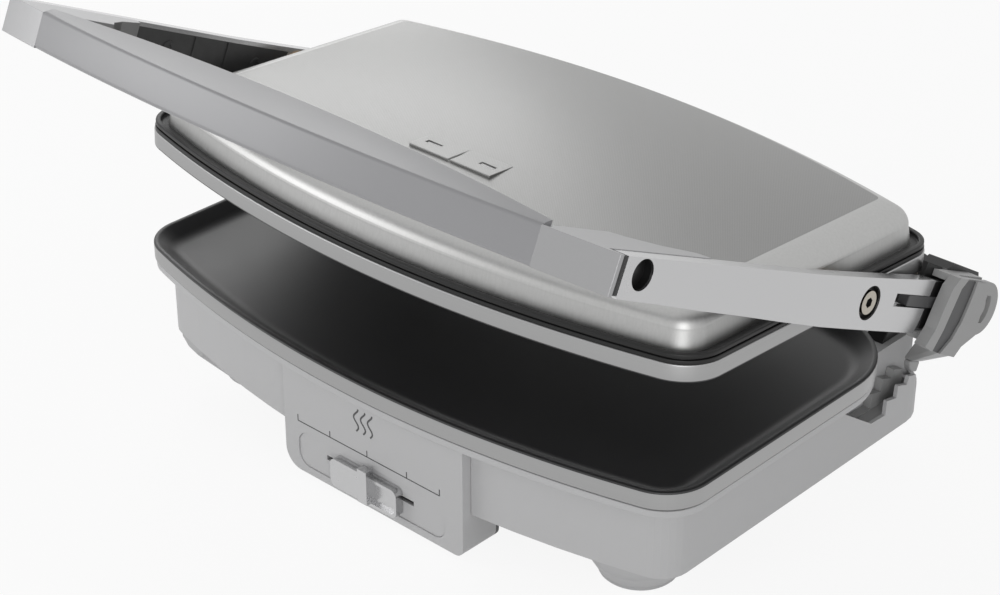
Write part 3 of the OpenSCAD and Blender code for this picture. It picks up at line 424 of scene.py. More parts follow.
@dataclass(frozen=True)
class Finish:
    """One finish: a Principled surface with a grain of its own.

    The base colour is varied by tint times the mask, the roughness by spread times the mask, and the
    height feeds a bump of the given depth in metres.
    """

    name: str
    colour: tuple[float, float, float]
    roughness: float = 0.45
    metallic: float = 0.0
    group: str = "fine_grain"
    settings: tuple[tuple[str, float], ...] = ()
    tint: float = 0.06
    spread: float = 0.10
    bump: float = 0.00002
    coat: float = 0.0
    specular: float = 0.5

    def build(self) -> bpy.types.Material:
        """Make the material's nodes."""
        m = bpy.data.materials.new(self.name)
        m.use_nodes = True
        tree = m.node_tree
        n, link = tree.nodes, tree.links.new
        bsdf = n["Principled BSDF"]
        bsdf.inputs["Metallic"].default_value = self.metallic
        bsdf.inputs["Coat Weight"].default_value = self.coat
        bsdf.inputs["Specular IOR Level"].default_value = self.specular
        effect = n.new("ShaderNodeGroup")
        effect.node_tree = bpy.data.node_groups[self.group]
        for key, value in self.settings:
            effect.inputs[key].default_value = value
        lift, shade = n.new("ShaderNodeMath"), n.new("ShaderNodeVectorMath")
        lift.operation = "MULTIPLY_ADD"
        lift.inputs[1].default_value, lift.inputs[2].default_value = self.tint * 2, 1.0
        shade.operation = "SCALE"
        shade.inputs[0].default_value = self.colour
        link(effect.outputs["Mask"], lift.inputs[0])
        link(lift.outputs[0], shade.inputs["Scale"])
        link(shade.outputs[0], bsdf.inputs["Base Color"])
        rough = n.new("ShaderNodeMath")
        rough.operation = "MULTIPLY_ADD"
        rough.use_clamp = True
        rough.inputs[1].default_value, rough.inputs[2].default_value = self.spread, self.roughness
        link(effect.outputs["Mask"], rough.inputs[0])
        link(rough.outputs[0], bsdf.inputs["Roughness"])
        bump = n.new("ShaderNodeBump")
        bump.inputs["Strength"].default_value = 1.0
        bump.inputs["Distance"].default_value = self.bump
        link(effect.outputs["Height"], bump.inputs["Height"])
        link(bump.outputs[0], bsdf.inputs["Normal"])
        m.diffuse_color = (*self.colour, 1)
        return m


BRUSH_FLAT = (("Across X", 12.0), ("Across Y", 2600.0), ("Across Z", 2600.0), ("Contrast", 0.8))
BRUSH_ROUND = (("Across X", 8.0), ("Across Y", 8.0), ("Across Z", 2400.0), ("Contrast", 0.8))
BRUSH_UP = (("Across X", 900.0), ("Across Y", 900.0), ("Across Z", 12.0), ("Contrast", 1.0))

FINISHES = (
    Finish("painted_shell", (0.49, 0.49, 0.495), 0.46, tint=0.02, bump=0.00001),
    Finish("grip_lacquer", (0.30, 0.30, 0.31), 0.34, 0.1, tint=0.02, bump=0.000006),
    Finish("band_brushed", (0.36, 0.36, 0.36), 0.38, 1.0, "brushed_lines", BRUSH_ROUND, bump=0.000006),
    Finish("non_stick", (0.020, 0.020, 0.021), 0.40, settings=(("Scale", 1500.0),), tint=0.2, bump=0.00001),
    Finish("shoulder_brushed", (0.44, 0.44, 0.435), 0.42, 1.0, "brushed_lines", BRUSH_UP,
           tint=0.12, bump=0.000006),
    Finish("top_hatched", (0.235, 0.235, 0.232), 0.31, 1.0, "embossed_hatch", (), tint=0.12, bump=0.00004),
    Finish("cast_bright", (0.52, 0.52, 0.525), 0.26, 1.0, settings=(("Scale", 350.0),),
           tint=0.03, bump=0.00001),
    Finish("cast_brushed", (0.34, 0.34, 0.345), 0.36, 1.0, "brushed_lines", BRUSH_FLAT, bump=0.000006),
    # Painted shade: the arms' inner channels are coloured near black for the shade inside them.
    Finish("channel_shade_cast", (0.07, 0.07, 0.07), 0.45, 0.6, settings=(("Scale", 260.0),), tint=0.25, bump=0.00006),
    # Real black moulding, and painted shade in the arms' holes, sockets and neck gaps and the corner gaps
    Finish("black_moulding_and_shade", (0.008, 0.008, 0.008), 0.42, tint=0.2, specular=0.35),
    Finish("rubber_seal", (0.010, 0.010, 0.010), 0.65, tint=0.2, specular=0.3),
    Finish("grey_moulding", (0.060, 0.060, 0.062), 0.45, tint=0.05),
    Finish("clip_moulding", (0.33, 0.33, 0.33), 0.42, tint=0.03, bump=0.00001),
    Finish("plated_screw", (0.42, 0.39, 0.34), 0.25, 1.0, tint=0.03, bump=0.000004),
    Finish("hidden_sheet", (0.50, 0.50, 0.50), 0.40, 1.0, tint=0.05),
    Finish("sintered_bronze", (0.50, 0.33, 0.15), 0.42, 1.0, tint=0.08),
    Finish("circuit_board", (0.01, 0.09, 0.03), 0.40, tint=0.1),
    Finish("ceramic_body", (0.62, 0.56, 0.46), 0.55, tint=0.05),
    Finish("dark_lens", (0.015, 0.015, 0.018), 0.12, tint=0.02, coat=0.5),
    Finish("foot_pad", (0.44, 0.44, 0.445), 0.6, tint=0.03),
)

# Finish of each solid, by the start of its name
NODE_FINISH = (
    (("lower_plate", "upper_plate"), "non_stick"),
    (("lower_heating", "upper_heating", "lower_heat_shield", "upper_heat_shield"), "hidden_sheet"),
    (("lower_thermostat", "upper_thermostat", "thermal_fuse", "terminal_block", "slide_potent"),
     "ceramic_body"),
    (("control_board", "lamp_board"), "circuit_board"),
    (("foot_screws", "housing_screws", "arm_screws", "pivot_screws", "pivot_washers", "hinge_pin"),
     "plated_screw"),
    (("hinge_bushes", "lid_bush"), "sintered_bronze"),
    # The corner spacers' black paints the shadow in the gap between each handle corner and its arm.
    (("lid_rim", "hinge_post", "hinge_knuckle", "corner_spacers", "cord_gland", "slider_carriage"),
     "black_moulding_and_shade"),
    (("plate_gasket",), "rubber_seal"),
    (("clip_tongue", "clip_grip_pad", "bottom_cover", "control_back"), "grey_moulding"),
    (("height_clip", "clip_foot", "step_rack"), "clip_moulding"),
    (("arm_",), "cast_bright"),
    (("slider_knob",), "cast_bright"),
    (("handle_corner",), "cast_brushed"),
    (("lamp_panel",), "top_hatched"),
    (("handle_grip",), "grip_lacquer"),
    (("lid_cover",), "shoulder_brushed"),
    (("lamp_lenses",), "dark_lens"),
    (("feet",), "foot_pad"),
)


def dress(obj: bpy.types.Object, *finishes: str) -> bpy.types.Object:
    """Give an object its materials, one for each slot in turn."""
    slots = obj.data.materials
    for i, name in enumerate(finishes):
        if i < len(slots):
            slots[i] = bpy.data.materials[name]
        else:
            slots.append(bpy.data.materials[name])
    return obj


def bevel(obj: bpy.types.Object, width: float) -> bpy.types.Object:
    """Round a CAD node's sharp edges with live modifiers, its loose triangles merged first.

    Args:
        obj: the node's object.
        width: bevel width in mm.

    Returns:
        The object.
    """
    merge = obj.modifiers.new("merge", "WELD")
    merge.merge_threshold = 1e-6
    cut = obj.modifiers.new("edges", "BEVEL")
    cut.width = width * MM
    cut.segments = 3
    cut.limit_method = "ANGLE"
    cut.angle_limit = math.radians(35)
    cut.harden_normals = False
    return obj


@dataclass
class BaseBuilder:
    """Plate, frame strip and feet, and rounded edges on the control panel and hinge posts; the housing's
    outline and the gasket's height place the feet and strip.
    """

    housing_bottom: float = -51.0
    strip_z: float = -13.5
    gasket_z: float = -10.0
    recess: float = 6.5
    lip: float = 2.0
    slope: float = 9.0
    foot_x: float = 127.0
    front_foot_y: float = -70.0
    rear_foot_y: float = 55.0
    rear_reach: float = 20.0
    foot_h: float = 25.0
    foot_flare: tuple[float, float] = (12.0, -13.0)
    foot_top_r: float = 25.0
    foot_sole_r: float = 19.0
    foot_round: float = 3.0
    foot_bore_r: float = 5.0
    foot_bore_h: float = 15.0
    foot_bore_edge: float = 0.4
    housing: Bow = Bow(166.0, -121.0, 576.0, 15.0, 116.0, 900.0, 22.0)

    def plate(self) -> bpy.types.Object:
        """Lower plate: a brushed band with rounded lip, then the black recess down to its floor."""
        band = rounded([(1.2, -BAND_H), (0.0, -BAND_H), (0.0, -0.9)], [0, 0.7, 0])
        lip = rounded([(0.0, -0.9), (0.0, 0.0), (self.lip, 0.0), (self.lip + self.slope, -self.recess),
                       (40.0, -self.recess)], [0, 0.8, 0.8, 4.0, 0])
        floor = [(d, -self.recess) for d in (56.0, CORE_INSET)]
        shell = Shell()
        shell.grid(LOWER_BOW.sweep(band), slot=1)
        black = LOWER_BOW.sweep(lip + floor)
        shell.grid(black).cap(black[-1])
        under = LOWER_BOW.sweep([(1.2, -BAND_H), (15.0, -BAND_H), (15.0, -11.0), (CORE_INSET, -11.0)])
        shell.grid(under, flip=True).cap(under[-1], flip=True)
        obj = shell.build("lower_plate_shell", place_base, 40)
        dress(obj, "non_stick", "band_brushed")
        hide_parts("lower_plate")
        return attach(obj, Body.BASE.value)

    def frame_strip(self) -> bpy.types.Object:
        """Light strip under the band, with rounded edges."""
        inner, outer = 14.5, 0.8
        corners = [(inner, self.gasket_z), (outer, self.gasket_z), (outer, self.strip_z),
                   (inner, self.strip_z), (inner, self.gasket_z)]
        ring = rounded(corners, [0, 0.6, 0.6, 0, 0])
        obj = Shell().grid(LOWER_BOW.sweep(ring)).build("base_frame_strip", place_base)
        dress(obj, "painted_shell")
        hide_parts("base_frame")
        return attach(obj, Body.BASE.value)

    def foot_ring(self, x: float, y: float, r: float, z: float, reach: float, clip: bool) -> np.ndarray:
        """Ring of a foot: a circle, or two half circles a reach apart, kept inside the housing.

        Args:
            x: x of the centre.
            y: y of the centre.
            r: radius.
            z: height above the table.
            reach: half the distance between the two half circles.
            clip: keep the ring inside the housing's outline.

        Returns:
            Array (64, 3) whose point at angle t is (x + r cos t, y + r sin t + reach sign(sin t)).
        """
        t = (np.arange(64) + 0.5) * 2 * math.pi / 64
        px = x + r * np.cos(t)
        py = y + r * np.sin(t) + reach * np.sign(np.sin(t))
        if clip:
            bow = self.housing
            edge = bow.front_y + bow.front_r - np.sqrt(bow.front_r ** 2 - px ** 2)
            side = bow.half_w - bow.front_corner
            turn = np.clip(np.abs(px) - side, 0, bow.front_corner - 0.5)
            edge += bow.front_corner - np.sqrt(bow.front_corner ** 2 - turn ** 2)
            py = np.maximum(py, edge + 0.3)
            px = np.clip(px, 0.3 - bow.half_w, bow.half_w - 0.3)
        return np.column_stack([px, py, np.full(len(t), z - RIM_HEIGHT)])

    def feet(self) -> bpy.types.Object:
        """Four feet, each a loft from its sole up to the flare under the housing."""
        shell = Shell()
        r, q = self.foot_sole_r, self.foot_round
        for sx in (-1, 1):
            for y, reach, flare in ((self.front_foot_y, 0.0, self.foot_flare),
                                    (self.rear_foot_y, self.rear_reach, (self.foot_flare[0] / 2, 0.0))):
                x = sx * self.foot_x
                rows = [self.foot_ring(x, y, self.foot_bore_r, self.foot_bore_h, 0, False),
                        self.foot_ring(x, y, self.foot_bore_r, self.foot_bore_edge, 0, False),
                        self.foot_ring(x, y, self.foot_bore_r + self.foot_bore_edge, 0.0, 0, False)]
                for a in np.linspace(0, math.pi / 2, 6):
                    rows.append(self.foot_ring(x, y, r - q + q * math.sin(a), q - q * math.cos(a),
                                               reach, False))
                for k in np.linspace(0.1, 1, 10):
                    rows.append(self.foot_ring(x + sx * flare[0] * k, y + flare[1] * k,
                                               r + (self.foot_top_r - r) * k,
                                               q + (self.foot_h - q) * k, reach, True))
                shell.grid(np.array(rows), flip=True)
                shell.cap(rows[0]).cap(rows[-1], flip=True)
        obj = shell.build("feet_moulded", place_base, 40)
        dress(obj, "foot_pad")
        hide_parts("feet")
        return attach(obj, Body.BASE.value)

    def solids(self) -> None:
        """Finish the base's CAD solids with worn edges."""
        bevel(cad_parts["control_panel"], 0.7)
        bevel(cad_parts["hinge_post_left"], 1.0)
        bevel(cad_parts["hinge_post_right"], 1.0)

    def make(self) -> None:
        """Build every base piece."""
        for step in (self.plate, self.frame_strip, self.feet):
            log.info("made %s", step().name)
        self.solids()


@dataclass
class ControlMarks:
    """Scale line, ticks and three heat waves on the panel's face, as thin raised print."""

    face_y: float = -122.4
    proud: float = 0.12
    line_z: float = -45.0
    line_x: tuple[float, float] = (-42.0, 52.0)
    ticks: tuple[float, ...] = (-42.0, -20.0, 5.0, 31.0, 52.0)
    tick_h: float = 3.4
    line_t: float = 0.5
    wave_x: tuple[float, ...] = (-1.6, 3.0, 7.6)
    wave_z: tuple[float, float] = (-33.5, -21.2)
    wave_swing: float = 1.5
    wave_t: float = 0.85

    def strip(self, shell: Shell, x: np.ndarray, z: np.ndarray, half: float) -> None:
        """Ribbon of half width about the line (x, z), offset along its normal, with side walls."""
        dx, dz = np.gradient(x), np.gradient(z)
        length = np.hypot(dx, dz)
        nx, nz = -dz / length * half, dx / length * half
        back, front = np.full(len(x), self.face_y + 0.05), np.full(len(x), self.face_y - self.proud)
        rows = [np.column_stack([x + nx, back, z + nz]), np.column_stack([x + nx, front, z + nz]),
                np.column_stack([x - nx, front, z - nz]), np.column_stack([x - nx, back, z - nz])]
        shell.grid(np.array(rows), loop=False)
        for end in (0, -1):
            shell.cap(np.array([r[end] for r in rows]), flip=end == 0)

    def make(self) -> None:
        """Build the marks as one piece."""
        shell = Shell()
        self.strip(shell, np.array(self.line_x), np.full(2, self.line_z), self.line_t / 2)
        for x in self.ticks:
            self.strip(shell, np.full(2, x), np.array([self.line_z, self.line_z + self.tick_h]),
                       self.line_t / 2)
        z = np.linspace(*self.wave_z, 25)
        phase = (z - self.wave_z[0]) / (self.wave_z[1] - self.wave_z[0]) * 2 * math.pi * 1.25
        for x in self.wave_x:
            self.strip(shell, x + self.wave_swing * np.sin(phase), z, self.wave_t / 2)
        obj = shell.build("panel_marks", place_base)
        dress(obj, "grey_moulding")
        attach(obj, Body.BASE.value)
        log.info("made %s", obj.name)


@dataclass
class HandleBuilder:
    """Grip bar with soft edges; arms, corners and knuckles stay as solids with rounded edges."""

    front_y: float = -211.0
    front_r: float = 786.0
    rear_y: float = -182.0
    rear_r: float = 1406.0
    half_w: float = 152.0
    bottom_z: float = 2.0
    face_z: float = 19.0
    crest_z: float = 25.0
    columns: int = 96

    def section(self, x: float) -> np.ndarray:
        """Closed outline of the bar at x: bottom, face, chamfer and rear, all with rounded corners.

        The front edge is y = y0 + R - sqrt(R^2 - x^2), the rear edge y = y1 - R' + sqrt(R'^2 - x^2).
        """
        yf = self.front_y + self.front_r - math.sqrt(self.front_r ** 2 - x * x)
        yr = self.rear_y - self.rear_r + math.sqrt(self.rear_r ** 2 - x * x)
        crest = self.crest_z - (self.crest_z - self.face_z) * (x / self.half_w) ** 2 * 0.6
        middle = (self.bottom_z + crest) / 2
        corners = [(yr, middle), (yr, self.bottom_z), (yf, self.bottom_z), (yf, self.face_z), (yr, crest),
                   (yr, middle)]
        line = rounded(corners, [0, 1.2, 2.0, 1.6, 1.2, 0], 6)
        return np.array([(x, y, z) for y, z in line[:-1]])

    def grip(self) -> bpy.types.Object:
        """Grip bar as sections carried from end to end."""
        xs = np.linspace(-self.half_w, self.half_w, self.columns)
        rows = np.array([self.section(float(x)) for x in xs])
        shell = Shell().grid(rows, flip=True)
        shell.cap(rows[0]).cap(rows[-1], flip=True)
        obj = shell.build("grip_bar", place_handle, 40)
        dress(obj, "grip_lacquer")
        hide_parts("handle_grip")
        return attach(obj, Body.HANDLE.value)

    def make(self) -> None:
        """Build the grip and finish the cast solids."""
        log.info("made %s", self.grip().name)
        widths = {"arm_left": 1.2, "arm_right": 1.2, "handle_corner_left": 1.4, "handle_corner_right": 1.4,
                  "hinge_knuckle_left": 1.2, "hinge_knuckle_right": 1.2, "height_clip": 1.6, "clip_foot": 1.0,
                  "clip_tongue": 0.4}
        for name, width in widths.items():
            bevel(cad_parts[name], width)


@dataclass
class ArmTrim:
    """Fittings of both arms: black liners that paint the shade in the holes, screw sockets and neck gaps, and
    the cast channels inside, coloured near black as painted shade.

    Depths are counted from the arm's outer face; skin, boss and rib stand off its inner face.
    """

    hole: tuple[float, float] = (-171.6, 11.8)
    hole_r: float = 6.4
    hole_depth: float = 4.6
    pivot: tuple[float, float] = (3.7, 8.1)
    sink_r: float = 7.95
    sink_depth: float = 3.0
    socket_r: float = 2.45
    socket_depth: float = 1.95
    head_depth: float = 0.4
    wall: float = 0.15
    hole_mouth: float = 1.0
    sink_mouth: float = 0.8
    sink_ring: float = 2.3
    socket_gap: float = 0.1
    neck_depth: tuple[float, float] = (1.45, 1.2)
    skin: float = 0.35
    boss: tuple[tuple[float, float], ...] = ((3.6, 0.3), (3.4, 1.1), (1.8, 1.1), (1.6, 0.5), (0, 0.5))
    rib_half: float = 0.7
    rib_depth: tuple[float, float] = (1.0, 0.3)
    rib_top: float = 16.2
    rib_clear: float = 0.4
    channel: tuple[tuple[float, float], ...] = (
        (-177, 4.0), (-154, 2.9), (-126, 1.6), (-96, 0.7), (-64, -0.7), (-31, -1.8), (-9, -2.0), (-9, 17.0),
        (-45, 16.5), (-177, 16.5))
    bosses: tuple[tuple[float, float], ...] = ((-158, 10), (-118, 9.5), (-92, 8.5), (-30, 7.5))
    ribs: tuple[float, ...] = (-138, -75, -52)
    neck: tuple[tuple[float, float], ...] = ((56.4, -2.2), (66, -2.2), (66, 20), (56.4, 20))

    @staticmethod
    def revolve(shell: Shell, centre: tuple[float, float], profile: Sequence[tuple[float, float]],
                n: int = 48) -> None:
        """Turn a profile of (radius, x) pairs about the X axis through centre.

        Args:
            shell: shell that takes the surface.
            centre: y and z of the axis.
            profile: outline, closed or ending on the axis.
            n: points round the circle; its first point lies straight above the axis.
        """
        t = np.arange(n) * 2 * math.pi / n + math.pi / 2
        rows = [np.column_stack([np.full(n, x), centre[0] + r * np.cos(t), centre[1] + r * np.sin(t)])
                for r, x in profile]
        shell.grid(np.array(rows))

    @staticmethod
    def slab(shell: Shell, x0: float, x1: float, outline: Sequence[tuple[float, float]]) -> None:
        """Flat piece between two X planes with the outline given as (y, z) pairs."""
        yz = np.array(outline, float)
        rows = np.array([np.column_stack([np.full(len(yz), x), yz]) for x in (x0, x1)])
        shell.grid(rows).cap(rows[0]).cap(rows[1], flip=True)

    def shade_liners(self, mirror: bool) -> bpy.types.Object:
        """Black linings as painted shade: in the hole, round the pivot screw's head, in its hexagonal socket
        and in the neck gap.
        """
        shell, w = Shell(), self.wall
        r, floor, mouth = self.hole_r, ARM_X - self.hole_depth, ARM_X - self.hole_mouth
        self.revolve(shell, self.hole, [(0, floor - w), (r + w, floor - w), (r + w, mouth), (r, mouth),
                                        (r, floor + w), (0, floor + w)])
        r, floor, mouth = self.sink_r, ARM_X - self.sink_depth, ARM_X - self.sink_mouth
        inner = r - self.sink_ring
        self.revolve(shell, self.pivot, [(inner, floor), (r, floor), (r, mouth), (r - w, mouth),
                                         (r - w, floor + w), (inner, floor + w), (inner, floor)])
        r, floor = self.socket_r, ARM_X - self.socket_depth
        mouth = ARM_X - self.head_depth - self.socket_gap
        self.revolve(shell, self.pivot, [(0, floor), (r, floor), (r, mouth), (r - w, mouth),
                                         (r - w, floor + w), (0, floor + w)], 6)
        self.slab(shell, ARM_X - self.neck_depth[0], ARM_X - self.neck_depth[1], self.neck)
        obj = shell.build("arm_shade_liners_left" if mirror else "arm_shade_liners_right", place_handle, 30, mirror)
        # The black paints the shade inside the hole, the screw's recess and socket, and the neck gap.
        dress(obj, "black_moulding_and_shade")
        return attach(obj, Body.HANDLE.value)

    def cast_channel(self, mirror: bool) -> bpy.types.Object:
        """Cast inner face of an arm with its ribs and bored bosses, coloured near black as painted shade."""
        shell, x = Shell(), ARM_X - ARM_T
        self.slab(shell, x - self.skin, x, self.channel)
        for centre in self.bosses:
            self.revolve(shell, centre, [(r, x - d) for r, d in self.boss])
        for y in self.ribs:
            low, top = float(np.interp(y, *zip(*self.channel[:7]))) + self.rib_clear, self.rib_top
            self.slab(shell, x - self.rib_depth[0], x - self.rib_depth[1],
                      [(y - self.rib_half, low), (y + self.rib_half, low), (y + self.rib_half, top),
                       (y - self.rib_half, top)])
        obj = shell.build("arm_channel_left" if mirror else "arm_channel_right", place_handle, 30, mirror)
        # Near-black colour paints the shade inside the channel.
        dress(obj, "channel_shade_cast")
        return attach(obj, Body.HANDLE.value)

    def make(self) -> None:
        """Fit both arms."""
        for mirror in (False, True):
            log.info("made %s", self.shade_liners(mirror).name)
            log.info("made %s", self.cast_channel(mirror).name)


@dataclass
class LidBuilder:
    """Sheet cover with round shoulder and domed top, black rim and upper plate."""

    gutter: float = 11.0
    rim_top: float = 13.0
    cover_inset: float = 8.5
    wall_top: float = 19.5
    wall_lean: float = 1.6
    rear_swell: float = 6.5
    middle_inset: float = 102.0
    shoulder_end: float = 1.3
    dome_insets: tuple[float, ...] = (24.5, 28, 34, 42, 52, 62)
    crease: float = 30.4
    crease_inset: float = 23.0
    rise: float = 6.6
    recess: float = 5.0
    lip: float = 6.5
    slope: float = 6.0
    bow: Bow = LID_BOW

    def dome(self, ring: np.ndarray) -> np.ndarray:
        """Lift points of the top to the dome.

        z = crease + rise (1 - X^2)(1 - Y^2), with X and Y from -1 to 1 across the crease outline.
        """
        x, y = ring[:, 0], ring[:, 1]
        d = self.crease_inset
        front = self.bow.front_y + self.bow.front_r - np.sqrt((self.bow.front_r - d) ** 2 - x * x)
        rear = self.bow.rear_y - self.bow.rear_r + np.sqrt((self.bow.rear_r - d) ** 2 - x * x)
        across = np.clip(x / (self.bow.half_w - d), -1, 1)
        along = np.clip((2 * y - front - rear) / (rear - front), -1, 1)
        z = self.crease + self.rise * (1 - across ** 2) * (1 - along ** 2)
        return np.column_stack([x, y, z])

    def swell(self, rows: np.ndarray, insets: Sequence[float]) -> np.ndarray:
        """Carry the rear half of the rings rearward, most at the crease.

        dy = swell * k * (y / y_max)^2 for y > 0, where k rises from 0 at the wall to 1 at the crease and
        falls to 0 again at the middle of the top.

        Args:
            rows: rings, array (rings, n, 3).
            insets: inset of each ring.

        Returns:
            The moved rings.
        """
        k = np.interp(insets, [self.cover_inset, self.crease_inset, self.middle_inset], [0.0, 1.0, 0.0])
        out = rows.copy()
        rear = np.clip(rows[..., 1] / rows[..., 1].max(axis=1, keepdims=True), 0, 1)
        out[..., 1] += self.rear_swell * k[:, None] * rear ** 2
        return out

    def cover(self) -> bpy.types.Object:
        """Cover: wall and shoulder swept round the outline, then the dome on inset rings.

        The shoulder is a quarter ellipse cut short at shoulder_end radians, so that it meets the dome in a
        crease.
        """
        start, end = self.cover_inset + 0.2, self.shoulder_end
        shoulder = [(self.cover_inset - self.wall_lean, self.gutter)]
        shoulder += [(start + (self.crease_inset - start) * (1 - math.cos(a)) / (1 - math.cos(end)),
                      self.wall_top + (self.crease - self.wall_top) * math.sin(a) / math.sin(end))
                     for a in np.linspace(0, end, 16)]
        shell = Shell()
        shell.grid(self.swell(self.bow.sweep(shoulder), [d for d, _ in shoulder]), slot=0)
        insets = [self.crease_inset, *self.dome_insets, CORE_INSET]
        rings = [self.bow.ring(d) for d in insets]
        core = rings[-1]
        for k in (0.8, 0.6, 0.4, 0.2, 0.0):
            rings.append(core.mean(0) + (core - core.mean(0)) * k)
            insets.append(self.middle_inset + (CORE_INSET - self.middle_inset) * k)
        shell.grid(self.swell(np.array([self.dome(ring) for ring in rings]), insets), slot=1)
        obj = shell.build("lid_cover_sheet", place_lid, 8.0)
        dress(obj, "shoulder_brushed", "top_hatched")
        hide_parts("lid_cover")
        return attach(obj, Body.LID.value)

    def rim(self) -> bpy.types.Object:
        """Black rim: a grooved outer face, a raised lip and the gutter behind it."""
        b, g, top = LID_BAND_H, self.gutter, self.rim_top
        line = [(15.5, b), (0.4, b), (0.4, g - 0.7), (1.7, g - 0.7), (1.7, g), (0.7, g), (0.7, top),
                (3.3, top), (3.3, g), (15.5, g)]
        radii = [0, 0.3, 0.4, 0.2, 0.2, 0.3, 0.6, 0.6, 0.4, 0]
        obj = Shell().grid(self.bow.sweep(rounded(line, radii, 4))).build("lid_rim_bead", place_lid, 50)
        dress(obj, "black_moulding_and_shade")
        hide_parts("lid_rim")
        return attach(obj, Body.LID.value)

    def plate(self) -> bpy.types.Object:
        """Upper plate: brushed band and black face below."""
        band = rounded([(0.0, 0.9), (0.0, LID_BAND_H), (16.0, LID_BAND_H)], [0, 0.6, 0])
        face = rounded([(0.0, 0.9), (0.0, 0.0), (self.lip, 0.0), (self.lip + self.slope, self.recess),
                        (40.0, self.recess)], [0, 0.9, 1.2, 3.5, 0])
        floor = [(d, self.recess) for d in (56.0, CORE_INSET)]
        shell = Shell()
        shell.grid(self.bow.sweep(band), slot=1)
        black = self.bow.sweep(face + floor)
        shell.grid(black, flip=True).cap(black[-1], flip=True)
        obj = shell.build("upper_plate_shell", place_lid, 40)
        dress(obj, "non_stick", "band_brushed")
        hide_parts("upper_plate")
        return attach(obj, Body.LID.value)

    def make(self) -> None:
        """Build every lid piece."""
        for step in (self.cover, self.rim, self.plate):
            log.info("made %s", step().name)
        bevel(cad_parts["lamp_panel"], 0.4)


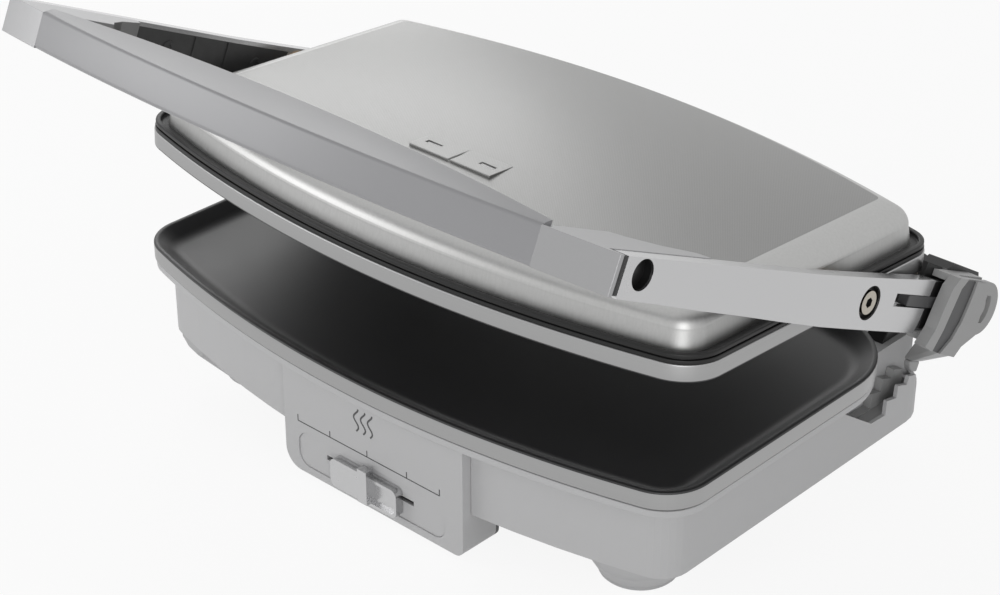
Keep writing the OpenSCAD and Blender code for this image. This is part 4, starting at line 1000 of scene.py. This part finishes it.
@dataclass
class Studio:
    """Camera of the photograph, soft lights and a white room."""

    eye: tuple[float, float, float] = (0.67512, -0.75174, 0.63366)
    azimuth: float = 42.94
    elevation: float = 29.43
    focal_px: float = 2354.3
    image_w: float = 1000.0
    sensor: float = 36.0
    lamps: tuple[tuple, ...] = (("key", (1.3, -1.3, 0.5), (0, 0, 0.1), 1.0, 10.0),
                                ("fill", (-1.0, -0.9, 0.55), (-0.1, 0, 0.1), 0.7, 4.5),
                                ("rear", (-1.2, 0.95, 0.8), (0, 0, 0.1), 0.7, 2.6))
    world_light: float = 0.42
    floor_half: float = 6.0
    floor_glow: float = 0.9

    def camera(self) -> None:
        """Camera at the fitted eye point, turned by its azimuth and elevation."""
        data = bpy.data.cameras.new("view")
        data.sensor_width = self.sensor
        data.lens = self.focal_px * self.sensor / self.image_w
        cam = bpy.data.objects.new("view", data)
        cam.location = self.eye
        cam.rotation_euler = (math.radians(90 - self.elevation), 0, math.radians(self.azimuth))
        bpy.context.scene.collection.objects.link(cam)
        bpy.context.scene.camera = cam

    def lamp(self, name: str, place: tuple, target: tuple, size: float, power: float) -> None:
        """Square area lamp that faces its target."""
        data = bpy.data.lights.new(name, "AREA")
        data.size, data.energy = size, power
        lamp = bpy.data.objects.new(name, data)
        lamp.location = place
        lamp.rotation_mode = "QUATERNION"
        lamp.rotation_quaternion = (Vector(target) - Vector(place)).to_track_quat("-Z", "Y")
        bpy.context.scene.collection.objects.link(lamp)

    def room(self) -> None:
        """White world for camera, gloss and glass, and a softer one that lights the object."""
        world = bpy.data.worlds.new("room")
        bpy.context.scene.world = world
        world.use_nodes = True
        n, link = world.node_tree.nodes, world.node_tree.links.new
        n.clear()
        out, mix = n.new("ShaderNodeOutputWorld"), n.new("ShaderNodeMixShader")
        path = n.new("ShaderNodeLightPath")
        soft, white = n.new("ShaderNodeBackground"), n.new("ShaderNodeBackground")
        soft.inputs["Color"].default_value = (1, 1, 1, 1)
        soft.inputs["Strength"].default_value = self.world_light
        white.inputs["Color"].default_value, white.inputs["Strength"].default_value = (1, 1, 1, 1), 1.0
        either, any_of = n.new("ShaderNodeMath"), n.new("ShaderNodeMath")
        either.operation = any_of.operation = "MAXIMUM"
        link(path.outputs["Is Camera Ray"], either.inputs[0])
        link(path.outputs["Is Glossy Ray"], either.inputs[1])
        link(either.outputs[0], any_of.inputs[0])
        link(path.outputs["Is Transmission Ray"], any_of.inputs[1])
        link(any_of.outputs[0], mix.inputs[0])
        link(soft.outputs[0], mix.inputs[1])
        link(white.outputs[0], mix.inputs[2])
        link(mix.outputs[0], out.inputs["Surface"])

    def floor(self) -> None:
        """Large pale floor that keeps the shadow and runs into the white room."""
        mesh = bpy.data.meshes.new("floor")
        s = self.floor_half
        mesh.from_pydata([(-s, -s, 0), (s, -s, 0), (s, s, 0), (-s, s, 0)], [], [(0, 1, 2, 3)])
        obj = bpy.data.objects.new("floor", mesh)
        bpy.context.scene.collection.objects.link(obj)
        m = bpy.data.materials.new("floor_white")
        m.use_nodes = True
        n, link = m.node_tree.nodes, m.node_tree.links.new
        bsdf = n["Principled BSDF"]
        bsdf.inputs["Base Color"].default_value = (0.92, 0.92, 0.92, 1)
        bsdf.inputs["Roughness"].default_value = 0.7
        glow, mix = n.new("ShaderNodeEmission"), n.new("ShaderNodeMixShader")
        path = n.new("ShaderNodeLightPath")
        glow.inputs["Strength"].default_value = 1.0
        either, any_of, share = (n.new("ShaderNodeMath") for _ in range(3))
        either.operation = any_of.operation = "MAXIMUM"
        share.operation, share.inputs[1].default_value = "MULTIPLY", self.floor_glow
        link(path.outputs["Is Camera Ray"], either.inputs[0])
        link(path.outputs["Is Glossy Ray"], either.inputs[1])
        link(either.outputs[0], any_of.inputs[0])
        link(path.outputs["Is Transmission Ray"], any_of.inputs[1])
        link(any_of.outputs[0], share.inputs[0])
        link(share.outputs[0], mix.inputs[0])
        link(bsdf.outputs[0], mix.inputs[1])
        link(glow.outputs[0], mix.inputs[2])
        link(mix.outputs[0], n["Material Output"].inputs["Surface"])
        mesh.materials.append(m)

    def make(self) -> None:
        """Set up camera, lamps, room and floor."""
        bpy.context.scene.view_settings.view_transform = "Standard"
        self.camera()
        for name, place, target, size, power in self.lamps:
            self.lamp(name, place, target, size, power)
        self.room()
        self.floor()


def make_finishes() -> None:
    """Build the shader groups and every finish."""
    make_grain_group()
    make_brush_group()
    make_linen_group()
    for finish in FINISHES:
        finish.build()


def dress_nodes() -> None:
    """Give every CAD node the finish of its name, or the painted shell."""
    for name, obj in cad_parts.items():
        finish = next((f for starts, f in NODE_FINISH if name.startswith(starts)), "painted_shell")
        dress(obj, finish)


def main() -> None:
    """Build the scene in order."""
    logging.basicConfig(level=logging.INFO, format="%(name)s: %(message)s")
    Studio().make()
    make_finishes()
    dress_nodes()
    BaseBuilder().make()
    ControlMarks().make()
    HandleBuilder().make()
    ArmTrim().make()
    LidBuilder().make()


if __name__ == "__main__":
    main()
